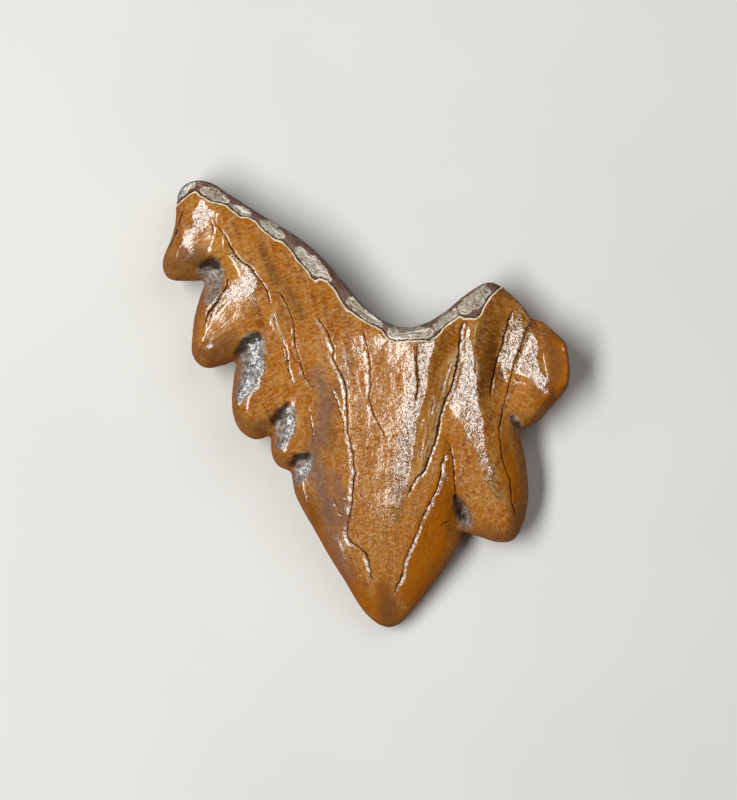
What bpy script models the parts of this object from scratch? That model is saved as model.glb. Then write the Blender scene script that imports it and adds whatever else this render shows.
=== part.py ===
"""Fossil whale tooth: the crown of an early whale's cheek tooth, lying on its inner face.

Lengths are metres. X runs along the jaw, Y from the tip of the crown towards its broken base, and Z up
from the surface that the tooth lies on. Plan positions are millimetres from the middle of the crown.
"""

import math

import bmesh
import bpy
import numpy as np
from mathutils.geometry import delaunay_2d_cdt

MM = 0.001

# Driving sizes, in millimetres
CROWN_LENGTH = 60.1
CROWN_HEIGHT = 66.1
# Each face swells from the keel by these rises, each eased over its own width
OUTER_SWELLS = ((3.2, 1.0), (3.2, 9.0))
INNER_SWELLS = ((5.2, 5.5),)
KEEL_ROUND = 0.55
BREAK_ROUND = 2.7
BREAK_SQUARENESS = 2.3
KEEL_HEIGHT_AT_BASE = 6.05
KEEL_HEIGHT_AT_TIP = 1.75
KEEL_BEND = 1.1
WORN_OFF = 0.15

# Mesh fineness, in millimetres. A crest or hollow narrower than FINE_WIDTH has mesh points along it
OUTLINE_STEP = 0.95
SKIN_STEP = 1.2
FINE_WIDTH = 3.5
CLEARANCE = 0.62
KEEL_RINGS = (0.14, 0.55, 1.3)
BREAK_RINGS = (0.14, 0.55, 1.3)
SPLINE_STEPS = 12
FIELD_STEP = 0.2

# The outline, counter-clockwise from the left end of the base: each stretch is one smooth curve,
# and two stretches meet in a notch
FIRST_DENTICLE = [(-28.0, 29.4), (-28.1, 26.9), (-28.8, 24.3), (-29.9, 21.8), (-30.0, 19.8),
                  (-29.1, 18.5), (-26.8, 18.2), (-23.6, 18.4)]
SECOND_DENTICLE = [(-23.6, 18.4), (-24.8, 15.0), (-25.7, 10.3), (-25.5, 6.9), (-24.0, 5.4),
                   (-21.5, 5.7), (-19.0, 6.7)]
THIRD_DENTICLE = [(-19.0, 6.7), (-19.7, 2.9), (-19.7, -1.0), (-18.6, -3.8), (-16.5, -5.1), (-13.9, -4.2)]
FOURTH_DENTICLE = [(-13.9, -4.2), (-14.0, -7.1), (-13.0, -9.0), (-11.1, -9.7)]
MAIN_CUSP = [(-11.1, -9.7), (-10.8, -12.1), (-7.5, -18.8), (-3.1, -26.3), (0.0, -31.0), (1.9, -32.6),
             (3.3, -33.0), (4.7, -32.6), (6.7, -30.5), (10.4, -25.9), (13.2, -21.5), (14.1, -19.6),
             (13.9, -18.5)]
LONG_DENTICLE = [(13.9, -18.5), (16.3, -19.3), (19.7, -20.3), (21.7, -20.0), (23.0, -17.9),
                 (23.9, -13.2), (23.6, -9.1), (23.0, -5.9), (22.5, -3.8)]
CHIPPED_DENTICLE = [(22.5, -3.8), (25.0, -2.6), (27.7, 0.4), (29.7, 2.8), (30.0, 4.7), (29.7, 7.1),
                    (29.4, 9.1), (27.6, 10.8), (26.0, 12.2), (24.2, 12.8)]
SHOULDER = [(24.2, 12.8), (23.0, 14.6), (21.3, 16.2), (20.2, 17.2)]
BROKEN_BASE = [(20.2, 17.2), (19.2, 17.9), (18.2, 18.2), (15.5, 17.0), (11.6, 13.9), (8.9, 12.2),
               (6.3, 11.5), (3.6, 11.9), (0.3, 14.0), (-3.1, 17.8), (-7.1, 22.3), (-9.7, 24.5),
               (-14.4, 27.4), (-20.0, 30.9), (-22.8, 32.7), (-24.4, 33.1), (-26.1, 32.8),
               (-27.4, 31.8), (-28.0, 29.4)]
KEELED_STRETCHES = [FIRST_DENTICLE, SECOND_DENTICLE, THIRD_DENTICLE, FOURTH_DENTICLE, MAIN_CUSP,
                    LONG_DENTICLE, CHIPPED_DENTICLE, SHOULDER]

# Relief shared by both faces: a path of (x, y, rise), then the width on its left and on its right.
# A negative rise is a hollow. Left and right are as seen when walking the path, from above. Of the two
# long denticles the shared relief has the slots alone, and each face has crests of its own
CUSP_RELIEF = [
    # The crests of the four small denticles, and the swollen tips below them
    ([(-23.2, 28.6, 0.5), (-24.6, 25.6, 1.0), (-28.2, 22.2, 0.6)], 2.6, 1.8),
    ([(-26.7, 21.5, 0.9)], 2.3, 2.3),
    ([(-16.6, 18.2, 0.6), (-20.3, 14.7, 1.3), (-24.2, 10.8, 0.8)], 3.0, 1.6),
    ([(-22.7, 8.8, 1.0)], 2.8, 2.8),
    ([(-13.4, 6.0, 0.6), (-15.5, 3.2, 1.2), (-18.3, -0.4, 0.7)], 2.8, 1.5),
    ([(-16.4, -2.0, 1.0)], 2.5, 2.5),
    ([(-9.6, -3.0, 0.5), (-11.4, -5.1, 1.0), (-12.9, -6.8, 0.5)], 2.0, 1.1),
    ([(-11.9, -7.8, 0.6)], 1.6, 1.6),
    # The scooped hollows where one denticle tucks behind the next
    ([(-20.4, 21.6, -0.6), (-22.0, 20.0, -1.5), (-23.5, 18.2, -1.7)], 1.9, 1.2),
    ([(-15.0, 10.2, -0.7), (-17.0, 8.1, -1.6), (-18.9, 5.8, -1.4)], 2.4, 1.3),
    ([(-11.0, 0.3, -0.6), (-12.4, -1.9, -1.4), (-13.8, -4.3, -1.2)], 1.9, 1.1),
    ([(-8.2, -6.6, -0.4), (-9.6, -8.5, -1.0), (-11.0, -10.0, -0.9)], 1.8, 1.0),
    # The slots that part the two long denticles on the other edge
    ([(12.2, -5.9, -0.4), (13.0, -11.0, -1.1), (13.8, -15.4, -2.3), (14.2, -18.8, -2.1)], 1.5, 1.3),
    ([(20.6, 12.6, -0.5), (19.7, 8.4, -1.0), (18.7, 4.0, -0.9), (18.9, -1.0, -0.6)], 1.8, 1.8),
    ([(20.2, 0.4, -0.5), (21.8, -2.2, -1.7), (22.6, -4.0, -1.7)], 1.3, 1.2),
]
# Sharp crests of the outer face, as above, whose sides fall away straight from the edge
OUTER_CRESTS = [
    # The crest of the main cusp, and the ridge that takes over from it and runs to the tip
    ([(10.1, 10.0, 1.2), (9.1, 4.7, 1.5), (8.6, 1.9, 1.5), (7.9, -0.9, 1.5), (7.2, -4.5, 1.4),
      (6.3, -9.7, 1.1), (5.6, -13.5, 0.5)], 1.8, 5.0),
    ([(12.0, -7.5, 0.3), (10.6, -11.5, 0.8), (8.5, -15.7, 1.0), (7.0, -19.6, 1.0), (5.4, -24.3, 0.8),
      (3.9, -28.4, 0.4)], 2.2, 5.0),
    # The two long denticles
    ([(15.0, 11.6, 0.7), (15.6, 7.8, 1.0), (16.1, 4.7, 1.3), (16.3, 0.5, 1.5), (17.3, -4.5, 1.3),
      (18.8, -10.8, 1.0), (20.0, -16.0, 0.7)], 2.6, 3.2),
    ([(23.4, 14.0, 1.0), (24.4, 10.8, 2.0), (25.2, 6.5, 2.6), (26.4, 2.6, 1.4)], 3.4, 4.8),
]
# Rounded relief of the outer face alone: the furrow beside the main crest
OUTER_RELIEF = [
    ([(13.5, 12.0, -0.3), (12.9, 6.0, -0.5), (12.0, 2.0, -0.6), (10.4, -3.0, -0.5), (9.0, -8.4, -0.3)],
     1.7, 1.7),
]
# Relief of the inner face alone: the crests of the long denticles, the swellings over the two lost
# roots, the hollow between them, and the thickened tip
INNER_RELIEF = [
    ([(15.8, 11.0, 0.35), (16.1, 5.1, 0.84), (16.8, -0.7, 0.91), (17.7, -5.9, 0.91), (18.9, -11.8, 0.84),
      (20.0, -16.0, 0.56)], 2.6, 3.0),
    ([(23.4, 13.0, 0.42), (24.8, 8.6, 0.91), (25.8, 5.0, 0.91), (26.9, 1.6, 0.49)], 2.0, 3.8),
    ([(-13.6, 19.4, 0.8), (-10.2, 15.6, 1.75), (-6.4, 11.4, 0.9)], 5.5, 5.5),
    ([(14.6, 12.2, 0.5), (15.0, 7.4, 1.24), (14.8, 2.4, 0.7)], 5.0, 5.0),
    ([(2.6, 13.0, -1.4), (3.0, 6.0, -1.0), (3.4, -4.0, -0.4)], 3.8, 3.8),
    ([(3.4, -28.0, 0.48)], 3.2, 3.2),
]
CUSP_SHARE_INNER = 0.7
# How the two kinds of relief fall away from their path: rounded like a bell, or straight from an edge
ROUNDED = 2
SHARP = 1

# Finish: worn, polished brown enamel
ENAMEL_BROWN = (0.36, 0.15, 0.045, 1.0)
ENAMEL_ROUGHNESS = 0.3


def spline(points, steps):
    """Points along a smooth curve through the given ones, with chord-length tangents."""
    p = np.array(points, float)
    chord = np.maximum(np.linalg.norm(np.diff(p, axis=0), axis=1), 1e-9)
    slope = np.diff(p, axis=0) / chord[:, None]
    tangent = np.empty_like(p)
    share = (chord[:-1] / (chord[:-1] + chord[1:]))[:, None]
    tangent[1:-1] = slope[:-1] * (1 - share) + slope[1:] * share
    tangent[0] = 1.5 * slope[0] - 0.5 * tangent[1]
    tangent[-1] = 1.5 * slope[-1] - 0.5 * tangent[-2]
    t = np.linspace(0, 1, steps + 1)[:-1, None]
    a, b, c, d = 2 * t**3 - 3 * t**2 + 1, t**3 - 2 * t**2 + t, 3 * t**2 - 2 * t**3, t**3 - t**2
    runs = [a * p[i] + b * chord[i] * tangent[i] + c * p[i + 1] + d * chord[i] * tangent[i + 1]
            for i in range(len(chord))]
    return np.vstack([*runs, p[-1:]])


def evenly(curve, step):
    """The same curve with points about one step apart, both ends kept."""
    run = np.concatenate([[0], np.cumsum(np.linalg.norm(np.diff(curve, axis=0), axis=1))])
    wanted = np.linspace(0, run[-1], max(2, round(run[-1] / step) + 1))
    return np.column_stack([np.interp(wanted, run, curve[:, k]) for k in (0, 1)])


def distance_to(points, path):
    """From each point: distance to the path, share along each segment, nearest segment and side."""
    path = np.array(path, float)
    if len(path) == 1:
        away = np.linalg.norm(points - path[0], axis=1)
        none = np.zeros(len(points), int)
        return away, none.astype(float), none, none.astype(float) + 1
    a, ab = path[:-1], np.diff(path, axis=0)
    ap = points[:, None, :] - a[None]
    share = np.clip((ap * ab).sum(2) / (ab**2).sum(1), 0, 1)
    away = np.linalg.norm(ap - share[..., None] * ab, axis=2)
    nearest = away.argmin(1)
    rows = np.arange(len(points))
    side = ab[nearest, 0] * ap[rows, nearest, 1] - ab[nearest, 1] * ap[rows, nearest, 0]
    return away[rows, nearest], share[rows, nearest], nearest, side


def relief(points, features, form=ROUNDED):
    """The summed rise of the features at each point, in millimetres."""
    total = np.zeros(len(points))
    for path, left, right in features:
        rise = np.array([p[2] for p in path])
        away, share, nearest, side = distance_to(points, [p[:2] for p in path])
        following = np.minimum(nearest + 1, len(rise) - 1)
        along = rise[nearest] * (1 - share) + rise[following] * share
        width = np.where(side >= 0, left, right)
        total += along * np.exp(-((away / width) ** form))
    return total


def nearest_gap(points, others):
    """Distance from each point to the nearest of the others."""
    return np.linalg.norm(points[:, None] - others[None], axis=2).min(1)


def soft_distance(points, edge, step):
    """Distance to an edge that also feels its other stretches, so that it has no creases."""
    gap = np.linalg.norm(points[:, None, :] - edge[None], axis=2)
    return np.sqrt(2 / (step / gap**3).sum(1))


class Crown:
    """The form of the crown: its outline, and the height of both faces at any plan position."""

    def __init__(self):
        """Makes the outline's curves and the finer edges that the distances are measured to."""
        curves = [spline(points, SPLINE_STEPS) for points in KEELED_STRETCHES]
        base = spline(BROKEN_BASE, SPLINE_STEPS)
        self.keel_loop = np.vstack([evenly(c, OUTLINE_STEP)[:-1] for c in curves])
        self.base_loop = evenly(base, OUTLINE_STEP)[:-1]
        self.loop = np.vstack([self.keel_loop, self.base_loop])
        self.keel = np.vstack([evenly(c, FIELD_STEP)[:-1] for c in curves])
        self.base = evenly(base, FIELD_STEP)

    def keel_height(self, p):
        """Height of the keel line above the surface that the crown lies on."""
        up = np.clip((p[:, 1] + CROWN_HEIGHT / 2) / (0.62 * CROWN_HEIGHT), 0, 1)
        rise = np.sin(up * math.pi / 2) ** 1.2
        bend = KEEL_BEND * (p[:, 0] / (CROWN_LENGTH / 2)) ** 2
        return KEEL_HEIGHT_AT_TIP + (KEEL_HEIGHT_AT_BASE - KEEL_HEIGHT_AT_TIP) * rise - bend * up

    def half_thickness(self, p, swells, raised):
        """Thickness between the keel surface and one face, which has the given swells and relief."""
        to_keel = nearest_gap(p, self.keel)
        to_base = nearest_gap(p, self.base)
        to_edge = np.minimum(to_keel, to_base)
        near = np.clip(to_keel, 0, 1)
        dome = near * soft_distance(p, self.keel, FIELD_STEP) + (1 - near) * to_keel
        bead = KEEL_ROUND * np.sqrt(1 - (1 - np.clip(to_edge / KEEL_ROUND, 0, 1)) ** 2)
        fade = 1 - np.exp(-((to_keel / 1.1) ** 2))
        body = sum(swell * (1 - np.exp(-dome / ease)) for swell, ease in swells) + fade * raised
        inward = 1 - np.clip(to_base / BREAK_ROUND, 0, 1)
        face = (1 - inward**BREAK_SQUARENESS) ** (1 / BREAK_SQUARENESS)
        return bead + np.maximum(body, 0.1 * to_edge) * face

    def outer(self, p):
        """Height of the outer face, the one that looks up."""
        raised = relief(p, CUSP_RELIEF + OUTER_RELIEF) + relief(p, OUTER_CRESTS, SHARP)
        return self.keel_height(p) + self.half_thickness(p, OUTER_SWELLS, raised)

    def inner(self, p):
        """Height of the inner face, the one that it lies on."""
        raised = CUSP_SHARE_INNER * relief(p, CUSP_RELIEF) + relief(p, INNER_RELIEF)
        return self.keel_height(p) - self.half_thickness(p, INNER_SWELLS, raised)

    def plan_points(self):
        """The outline, then rings just inside it, then an even triangular grid over the rest."""
        ahead, behind = np.roll(self.loop, -1, axis=0), np.roll(self.loop, 1, axis=0)
        along = (ahead - behind) / np.linalg.norm(ahead - behind, axis=1)[:, None]
        inward = np.column_stack([-along[:, 1], along[:, 0]])
        is_base = np.arange(len(self.loop)) >= len(self.keel_loop)
        edge = np.vstack([self.keel, self.base])
        kept = [self.loop]
        for depth in BREAK_RINGS:
            ring = self.loop + depth * inward
            if depth not in KEEL_RINGS:
                ring = ring[is_base]
            kept.append(ring[nearest_gap(ring, edge) > 0.93 * depth])
        for path, left, right in OUTER_CRESTS + CUSP_RELIEF + OUTER_RELIEF:
            if len(path) > 1 and min(left, right) < FINE_WIDTH:
                line = evenly(np.array([p[:2] for p in path]), SKIN_STEP)
                line = line[inside(line, self.loop)]
                kept.append(line[nearest_gap(line, np.vstack(kept)) > CLEARANCE * SKIN_STEP])
        rows = int(CROWN_HEIGHT / (SKIN_STEP * math.sqrt(0.75))) + 1
        columns = int(CROWN_LENGTH / SKIN_STEP) + 1
        grid = np.array([((i + 0.5 * (j % 2)) * SKIN_STEP - CROWN_LENGTH / 2,
                          j * SKIN_STEP * math.sqrt(0.75) - CROWN_HEIGHT / 2)
                         for j in range(rows) for i in range(columns)])
        grid = grid[inside(grid, self.loop)]
        placed = np.vstack(kept)
        return np.vstack([placed, grid[nearest_gap(grid, placed) > CLEARANCE * SKIN_STEP]])


def inside(points, loop):
    """Whether each point is inside the closed loop, by counting the edges to its right."""
    x, y = points[:, 0, None], points[:, 1, None]
    (ax, ay), (bx, by) = loop.T, np.roll(loop, -1, axis=0).T
    crosses = (ay > y) != (by > y)
    rise = np.where(by == ay, 1, by - ay)
    return (crosses & (x < ax + (y - ay) * (bx - ax) / rise)).sum(1) % 2 == 1


def crown_mesh(crown):
    """Both faces over one triangulated plan, sewn together along the outline."""
    plan = crown.plan_points()
    count = len(crown.loop)
    edges = [(i, (i + 1) % count) for i in range(count)]
    made = delaunay_2d_cdt([tuple(p) for p in plan], edges, [], 1, 1e-6)
    plan = np.array([tuple(v) for v in made[0]])
    on_edge = [any(source < count for source in sources) for sources in made[3]]
    outer, inner = crown.outer(plan), crown.inner(plan)
    keel = crown.keel_height(plan)
    mesh = bmesh.new()
    top, under = [], []
    for (x, y), high, low, middle, shared in zip(plan, outer, inner, keel, on_edge):
        first = mesh.verts.new((x * MM, y * MM, (middle if shared else high) * MM))
        top.append(first)
        under.append(first if shared else mesh.verts.new((x * MM, y * MM, low * MM)))
    for triangle in made[2]:
        mesh.faces.new([top[i] for i in triangle])
        mesh.faces.new([under[i] for i in reversed(triangle)])
    return mesh


def wear_flat(mesh):
    """Cuts the lowest points to one plane, as small worn spots, and sets the origin below the middle."""
    ground = min(v.co.z for v in mesh.verts) + WORN_OFF * MM
    cut = bmesh.ops.bisect_plane(mesh, geom=mesh.verts[:] + mesh.edges[:] + mesh.faces[:], dist=1e-8,
                                 plane_co=(0, 0, ground), plane_no=(0, 0, -1), clear_outer=True)
    rim = [e for e in cut["geom_cut"] if isinstance(e, bmesh.types.BMEdge)]
    bmesh.ops.edgenet_fill(mesh, edges=rim)
    xs, ys = [v.co.x for v in mesh.verts], [v.co.y for v in mesh.verts]
    middle = ((min(xs) + max(xs)) / 2, (min(ys) + max(ys)) / 2)
    bmesh.ops.translate(mesh, verts=mesh.verts, vec=(-middle[0], -middle[1], -ground))


def enamel():
    """Worn brown enamel."""
    material = bpy.data.materials.new("enamel")
    material.use_nodes = True
    shader = material.node_tree.nodes["Principled BSDF"]
    shader.inputs["Base Color"].default_value = ENAMEL_BROWN
    shader.inputs["Roughness"].default_value = ENAMEL_ROUGHNESS
    shader.inputs["Metallic"].default_value = 0.0
    return material


def main():
    """Builds the tooth, one solid."""
    for old in list(bpy.data.objects):
        bpy.data.objects.remove(old)
    mesh = crown_mesh(Crown())
    wear_flat(mesh)
    bmesh.ops.recalc_face_normals(mesh, faces=mesh.faces)
    data = bpy.data.meshes.new("tooth")
    mesh.to_mesh(data)
    mesh.free()
    data.shade_smooth()
    data.materials.append(enamel())
    bpy.context.scene.collection.objects.link(bpy.data.objects.new("tooth", data))


main()
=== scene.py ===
"""The finished look of a fossil whale tooth that lies on a plain pale floor under soft studio light.

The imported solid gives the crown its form. Its skin here is a fine copy of that solid, relaxed, then
carved with the cracks, the broken enamel edge and the worn dentine of the real tooth, and dressed in
one procedural finish. Lengths are millimetres in the frame's own axes unless a name says otherwise.
"""

import logging
from dataclasses import dataclass, field
from enum import Enum

import bmesh
import bpy
import numpy as np
from mathutils import Matrix, Vector, noise


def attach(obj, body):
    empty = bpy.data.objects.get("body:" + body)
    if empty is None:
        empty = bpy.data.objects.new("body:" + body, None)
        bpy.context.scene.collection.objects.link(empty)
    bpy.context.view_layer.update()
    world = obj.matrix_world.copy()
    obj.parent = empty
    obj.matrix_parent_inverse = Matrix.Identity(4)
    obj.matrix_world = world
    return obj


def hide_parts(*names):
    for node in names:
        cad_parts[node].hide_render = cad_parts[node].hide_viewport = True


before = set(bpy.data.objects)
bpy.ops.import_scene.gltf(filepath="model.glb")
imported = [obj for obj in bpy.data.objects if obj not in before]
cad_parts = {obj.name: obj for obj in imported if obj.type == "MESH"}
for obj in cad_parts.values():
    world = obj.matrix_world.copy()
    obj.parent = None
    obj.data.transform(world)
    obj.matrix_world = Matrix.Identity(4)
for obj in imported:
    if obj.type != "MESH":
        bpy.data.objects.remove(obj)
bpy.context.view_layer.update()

MM = 0.001
LOG = logging.getLogger("tooth")

Points = tuple[tuple[float, ...], ...]
Colour = tuple[float, float, float]


class Face(Enum):
    """The two faces of the crown: the outer one looks up, the inner one lies on the floor."""

    OUTER = 1
    INNER = -1


class Blend(Enum):
    """The ways that one colour goes over another."""

    OVER = "MIX"
    DARKEN = "MULTIPLY"


def smooth_step(values: np.ndarray, low: float, high: float) -> np.ndarray:
    """Eases from 0 at low to 1 at high, which may be below low.

    Args:
        values: The values to ease.
        low: Where the result is 0.
        high: Where the result is 1.

    Returns:
        The eased values.
    """
    t = np.clip((values - low) / (high - low), 0, 1)
    return t * t * (3 - 2 * t)


def rough_field(places: np.ndarray, size: float, seed: float = 0.0) -> np.ndarray:
    """Smooth noise between about -1 and 1.

    Args:
        places: Points, in millimetres.
        size: The width of one swell of the noise, in millimetres.
        seed: Shifts the noise, so that two fields differ.

    Returns:
        One value for each point.
    """
    shift = Vector((seed * 17.3, seed * 5.7, seed * 11.9))
    return np.array([noise.noise(Vector(p) / size + shift) for p in places.tolist()])


@dataclass(frozen=True)
class Line:
    """A line on the crown, as seen from above.

    Args:
        points: Its points, in millimetres; a third number is a radius.
    """

    points: Points

    def measure(self, plan: np.ndarray) -> tuple[np.ndarray, np.ndarray, np.ndarray]:
        """Measures points against the line.

        Args:
            plan: Plan positions, one row each.

        Returns:
            The distance, positive on the line's left, the place along it from 0 to 1, and the nearest
            point on it.
        """
        path = np.array([p[:2] for p in self.points])
        start, run = path[:-1], np.diff(path, axis=0)
        length = np.linalg.norm(run, axis=1)
        gap = plan[:, None, :] - start[None]
        share = np.clip((gap * run).sum(2) / length**2, 0, 1)
        near = start[None] + share[..., None] * run
        away = np.linalg.norm(plan[:, None] - near, axis=2)
        side = (run[:, 0] * gap[..., 1] - run[:, 1] * gap[..., 0]) / length
        best = (away - 1e-6 * np.abs(side)).argmin(1)
        rows = np.arange(len(plan))
        before = np.concatenate([[0], np.cumsum(length)])
        along = (before[best] + share[rows, best] * length[best]) / before[-1]
        signed = np.copysign(away[rows, best], side[rows, best])
        return signed, along, near[rows, best]

    def spread(self, plan: np.ndarray, soft: float) -> np.ndarray:
        """How strongly a blotch with the line's own radii covers each point.

        Args:
            plan: Plan positions, one row each.
            soft: The width over which the blotch fades.

        Returns:
            1 inside the blotch, 0 outside.
        """
        return smooth_step(self.depth_inside(plan), -soft, soft)

    def third(self, along: np.ndarray) -> np.ndarray:
        """The points' third number, a radius or a width, at places along the line.

        Args:
            along: Places from 0 to 1.

        Returns:
            The number at each place.
        """
        path = np.array([p[:2] for p in self.points])
        run = np.concatenate([[0], np.cumsum(np.linalg.norm(np.diff(path, axis=0), axis=1))])
        return np.interp(along * run[-1], run, [p[2] for p in self.points])

    def depth_inside(self, plan: np.ndarray) -> np.ndarray:
        """Distance inside the swollen line, negative outside it.

        Args:
            plan: Plan positions, one row each.

        Returns:
            The distance for each point.
        """
        signed, along, _ = self.measure(plan)
        return self.third(along) - np.abs(signed)


def deepest(lines: tuple[Line, ...], plan: np.ndarray) -> np.ndarray:
    """Distance inside the nearest of several swollen lines, negative outside them all.

    Args:
        lines: The lines.
        plan: Plan positions, one row each.

    Returns:
        The distance for each point.
    """
    return np.maximum.reduce([line.depth_inside(plan) for line in lines])


@dataclass(frozen=True)
class Crack:
    """One drying crack: a groove with a beaded mineral seam along one edge.

    Args:
        line: Where it runs.
        width: Half the width of the groove.
        depth: How deep the groove is.
        lip: How far the seam stands proud, on the left of the line, or on the right if negative.
        face: The face that it is on.
        crust: How far the pale mineral spreads over the seam.
    """

    line: Line
    width: float = 0.1
    depth: float = 0.12
    lip: float = 0.05
    face: Face = Face.OUTER
    crust: float = 0.2


@dataclass(frozen=True)
class Flank:
    """A stretch of the outer face with one steady slope from left to right.

    Args:
        line: Its sharp edge, with its width to the line's left.
        lean: How far it rises for each millimetre to the right.
        crisp: The width over which it ends at the line.
        fade: The width over which it ends on its far side.
        tilt: How steep it may stay from tip to base, if its lean makes it bright.
    """

    line: Line
    lean: float
    crisp: float = 0.4
    fade: float = 0.9
    tilt: float = 0.1

    def share(self, plan: np.ndarray, ragged: np.ndarray) -> np.ndarray:
        """How much each point belongs to the flank.

        Args:
            plan: Plan positions, one row each.
            ragged: A distance for each point that frays the flank's edges.

        Returns:
            1 on the flank, 0 away from it.
        """
        signed, along, _ = self.line.measure(plan)
        width = self.line.third(along)
        share = smooth_step(signed + ragged, -self.crisp / 2, self.crisp / 2)
        return share * smooth_step(width - signed + ragged, -self.fade / 2, self.fade / 2)


OUTER_CRACKS = (
    # The long crack down the left of the main cusp, and the short one that joins it
    Crack(Line(((-7.5, 13.1), (-6.2, 11.6), (-5.2, 9.6), (-4.7, 8.1), (-4.9, 6.9), (-3.7, 4.6), (-3.0, 2.9),
                (-2.8, 0.7), (-2.7, -3.7), (-2.2, -5.6), (-1.9, -7.3), (-1.7, -9.3), (-1.8, -11.0),
                (-2.1, -14.7), (-2.5, -16.5), (-2.8, -19.1), (-2.2, -20.0), (-0.9, -20.9), (0.0, -21.8),
                (0.4, -22.8), (0.6, -24.0), (0.8, -25.3), (1.7, -26.2))), 0.09, 0.16, -0.085, crust=0.42),
    Crack(Line(((-5.2, -12.5), (-4.3, -14.7), (-3.9, -15.7), (-2.7, -16.6))), 0.06, 0.08, -0.07, crust=0.25),
    # The furrow crack beside the main crest, and the one on the ridge that runs to the tip
    Crack(Line(((14.2, 12.6), (13.6, 10.3), (13.3, 6.6), (12.8, 4.4), (12.2, 2.2), (11.4, 0.4), (10.8, -1.5),
                (10.4, -3.7), (9.8, -5.9), (9.1, -7.8), (8.5, -9.6), (7.2, -10.7), (6.3, -12.5),
                (5.7, -13.5))), 0.13, 0.2, 0.1),
    Crack(Line(((11.7, -6.6), (11.0, -8.4), (10.8, -10.3), (10.4, -11.8), (9.4, -14.0), (8.5, -15.7),
                (7.8, -17.5), (7.0, -19.6), (6.4, -21.0), (5.7, -22.5), (5.4, -24.3), (5.0, -25.7),
                (4.4, -26.6), (3.9, -28.4))), 0.1, 0.16, 0.09, crust=0.34),
    Crack(Line(((12.0, -5.1), (12.6, -8.1), (12.8, -10.3), (12.9, -12.2), (13.0, -13.6))), 0.1, 0.14, 0.03),
    Crack(Line(((13.0, -16.8), (12.3, -16.8), (11.1, -17.3), (10.8, -18.4))), 0.07, 0.07, 0.0),
    # Short ones that start at the broken base
    Crack(Line(((-0.6, 11.3), (0.1, 8.8), (0.6, 5.1), (0.6, 2.9), (0.4, 1.0), (1.1, -1.5),
                (1.9, -3.0), (3.2, -5.3))), 0.07, 0.1, -0.06),
    Crack(Line(((7.5, 9.3), (7.2, 6.6), (7.5, 2.2), (7.0, 0.0))), 0.08, 0.1, 0.02),
    # Behind the small cusps
    Crack(Line(((-21.9, 26.9), (-21.2, 25.4), (-20.2, 24.3), (-19.6, 22.8), (-18.9, 21.8), (-18.0, 20.7),
                (-16.6, 20.0), (-16.1, 19.0), (-14.9, 17.6), (-14.3, 16.5), (-13.7, 14.0))), 0.09, 0.12,
          0.05),
    Crack(Line(((-14.1, 16.4), (-12.4, 16.2), (-11.8, 15.1), (-11.2, 14.0), (-10.5, 11.8), (-10.3, 8.4),
                (-9.2, 4.9), (-8.9, 4.0), (-8.0, 2.9), (-7.1, 1.8))), 0.08, 0.1, -0.05),
    Crack(Line(((-21.1, 21.9), (-19.9, 21.8), (-18.9, 21.8))), 0.07, 0.08, 0.0),
    Crack(Line(((-26.7, 29.0), (-27.3, 26.6), (-28.0, 24.4), (-29.3, 22.4))), 0.1, 0.14, 0.05),
    Crack(Line(((-22.6, 27.6), (-22.2, 25.2), (-22.6, 23.4))), 0.05, 0.05, 0.03),
    Crack(Line(((-13.7, 14.0), (-13.0, 11.0), (-11.6, 8.4), (-11.2, 5.0), (-10.3, 2.2))), 0.06, 0.06, 0.05),
    Crack(Line(((-12.3, 8.9), (-11.7, 6.3), (-11.2, 4.2))), 0.05, 0.05, 0.05),
    Crack(Line(((-20.3, 19.4), (-20.1, 17.4), (-21.5, 15.2), (-22.9, 13.4), (-23.9, 10.4))), 0.08, 0.1, 0.04),
    Crack(Line(((-5.3, 2.9), (-4.3, 0.7), (-3.4, -2.2), (-3.1, -5.1))), 0.06, 0.06, 0.02),
    Crack(Line(((-8.6, 0.7), (-8.0, -2.2), (-7.5, -6.6))), 0.06, 0.05, 0.02),
    # Between and on the two long cusps
    Crack(Line(((21.6, 14.4), (20.8, 12.5), (20.2, 10.3), (19.7, 8.4), (19.1, 6.6), (18.2, 2.9),
                (18.0, 0.7))), 0.12, 0.16, 0.06),
    Crack(Line(((24.2, 12.8), (23.6, 11.5), (23.2, 10.6), (22.7, 8.8), (22.3, 7.8), (21.6, 5.9), (20.8, 2.9),
                (20.2, 0.7), (19.7, -1.5), (19.2, -3.7), (19.8, -8.1), (20.4, -9.6), (21.0, -11.0),
                (21.1, -14.0), (22.2, -16.9))), 0.09, 0.12, 0.03),
    Crack(Line(((15.7, 6.9), (15.8, 5.4), (15.7, 4.0))), 0.08, 0.1, 0.05),
    # Flaked streaks in the furrow
    Crack(Line(((12.6, 7.2), (12.0, 5.6), (11.4, 4.3), (11.2, 2.6), (10.9, 1.0))), 0.04, 0.05, 0.13),
    Crack(Line(((13.5, 7.1), (12.8, 5.6), (12.4, 4.4))), 0.04, 0.05, 0.12),
    Crack(Line(((9.8, 1.9), (9.7, 0.9), (9.5, -0.7), (9.2, -2.0))), 0.04, 0.04, 0.13),
    Crack(Line(((8.5, -1.0), (8.1, -2.0), (7.8, -3.7))), 0.04, 0.04, 0.12),
    Crack(Line(((8.4, -4.3), (8.1, -5.6), (7.9, -6.8), (7.4, -8.4))), 0.04, 0.04, 0.13),
)
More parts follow.
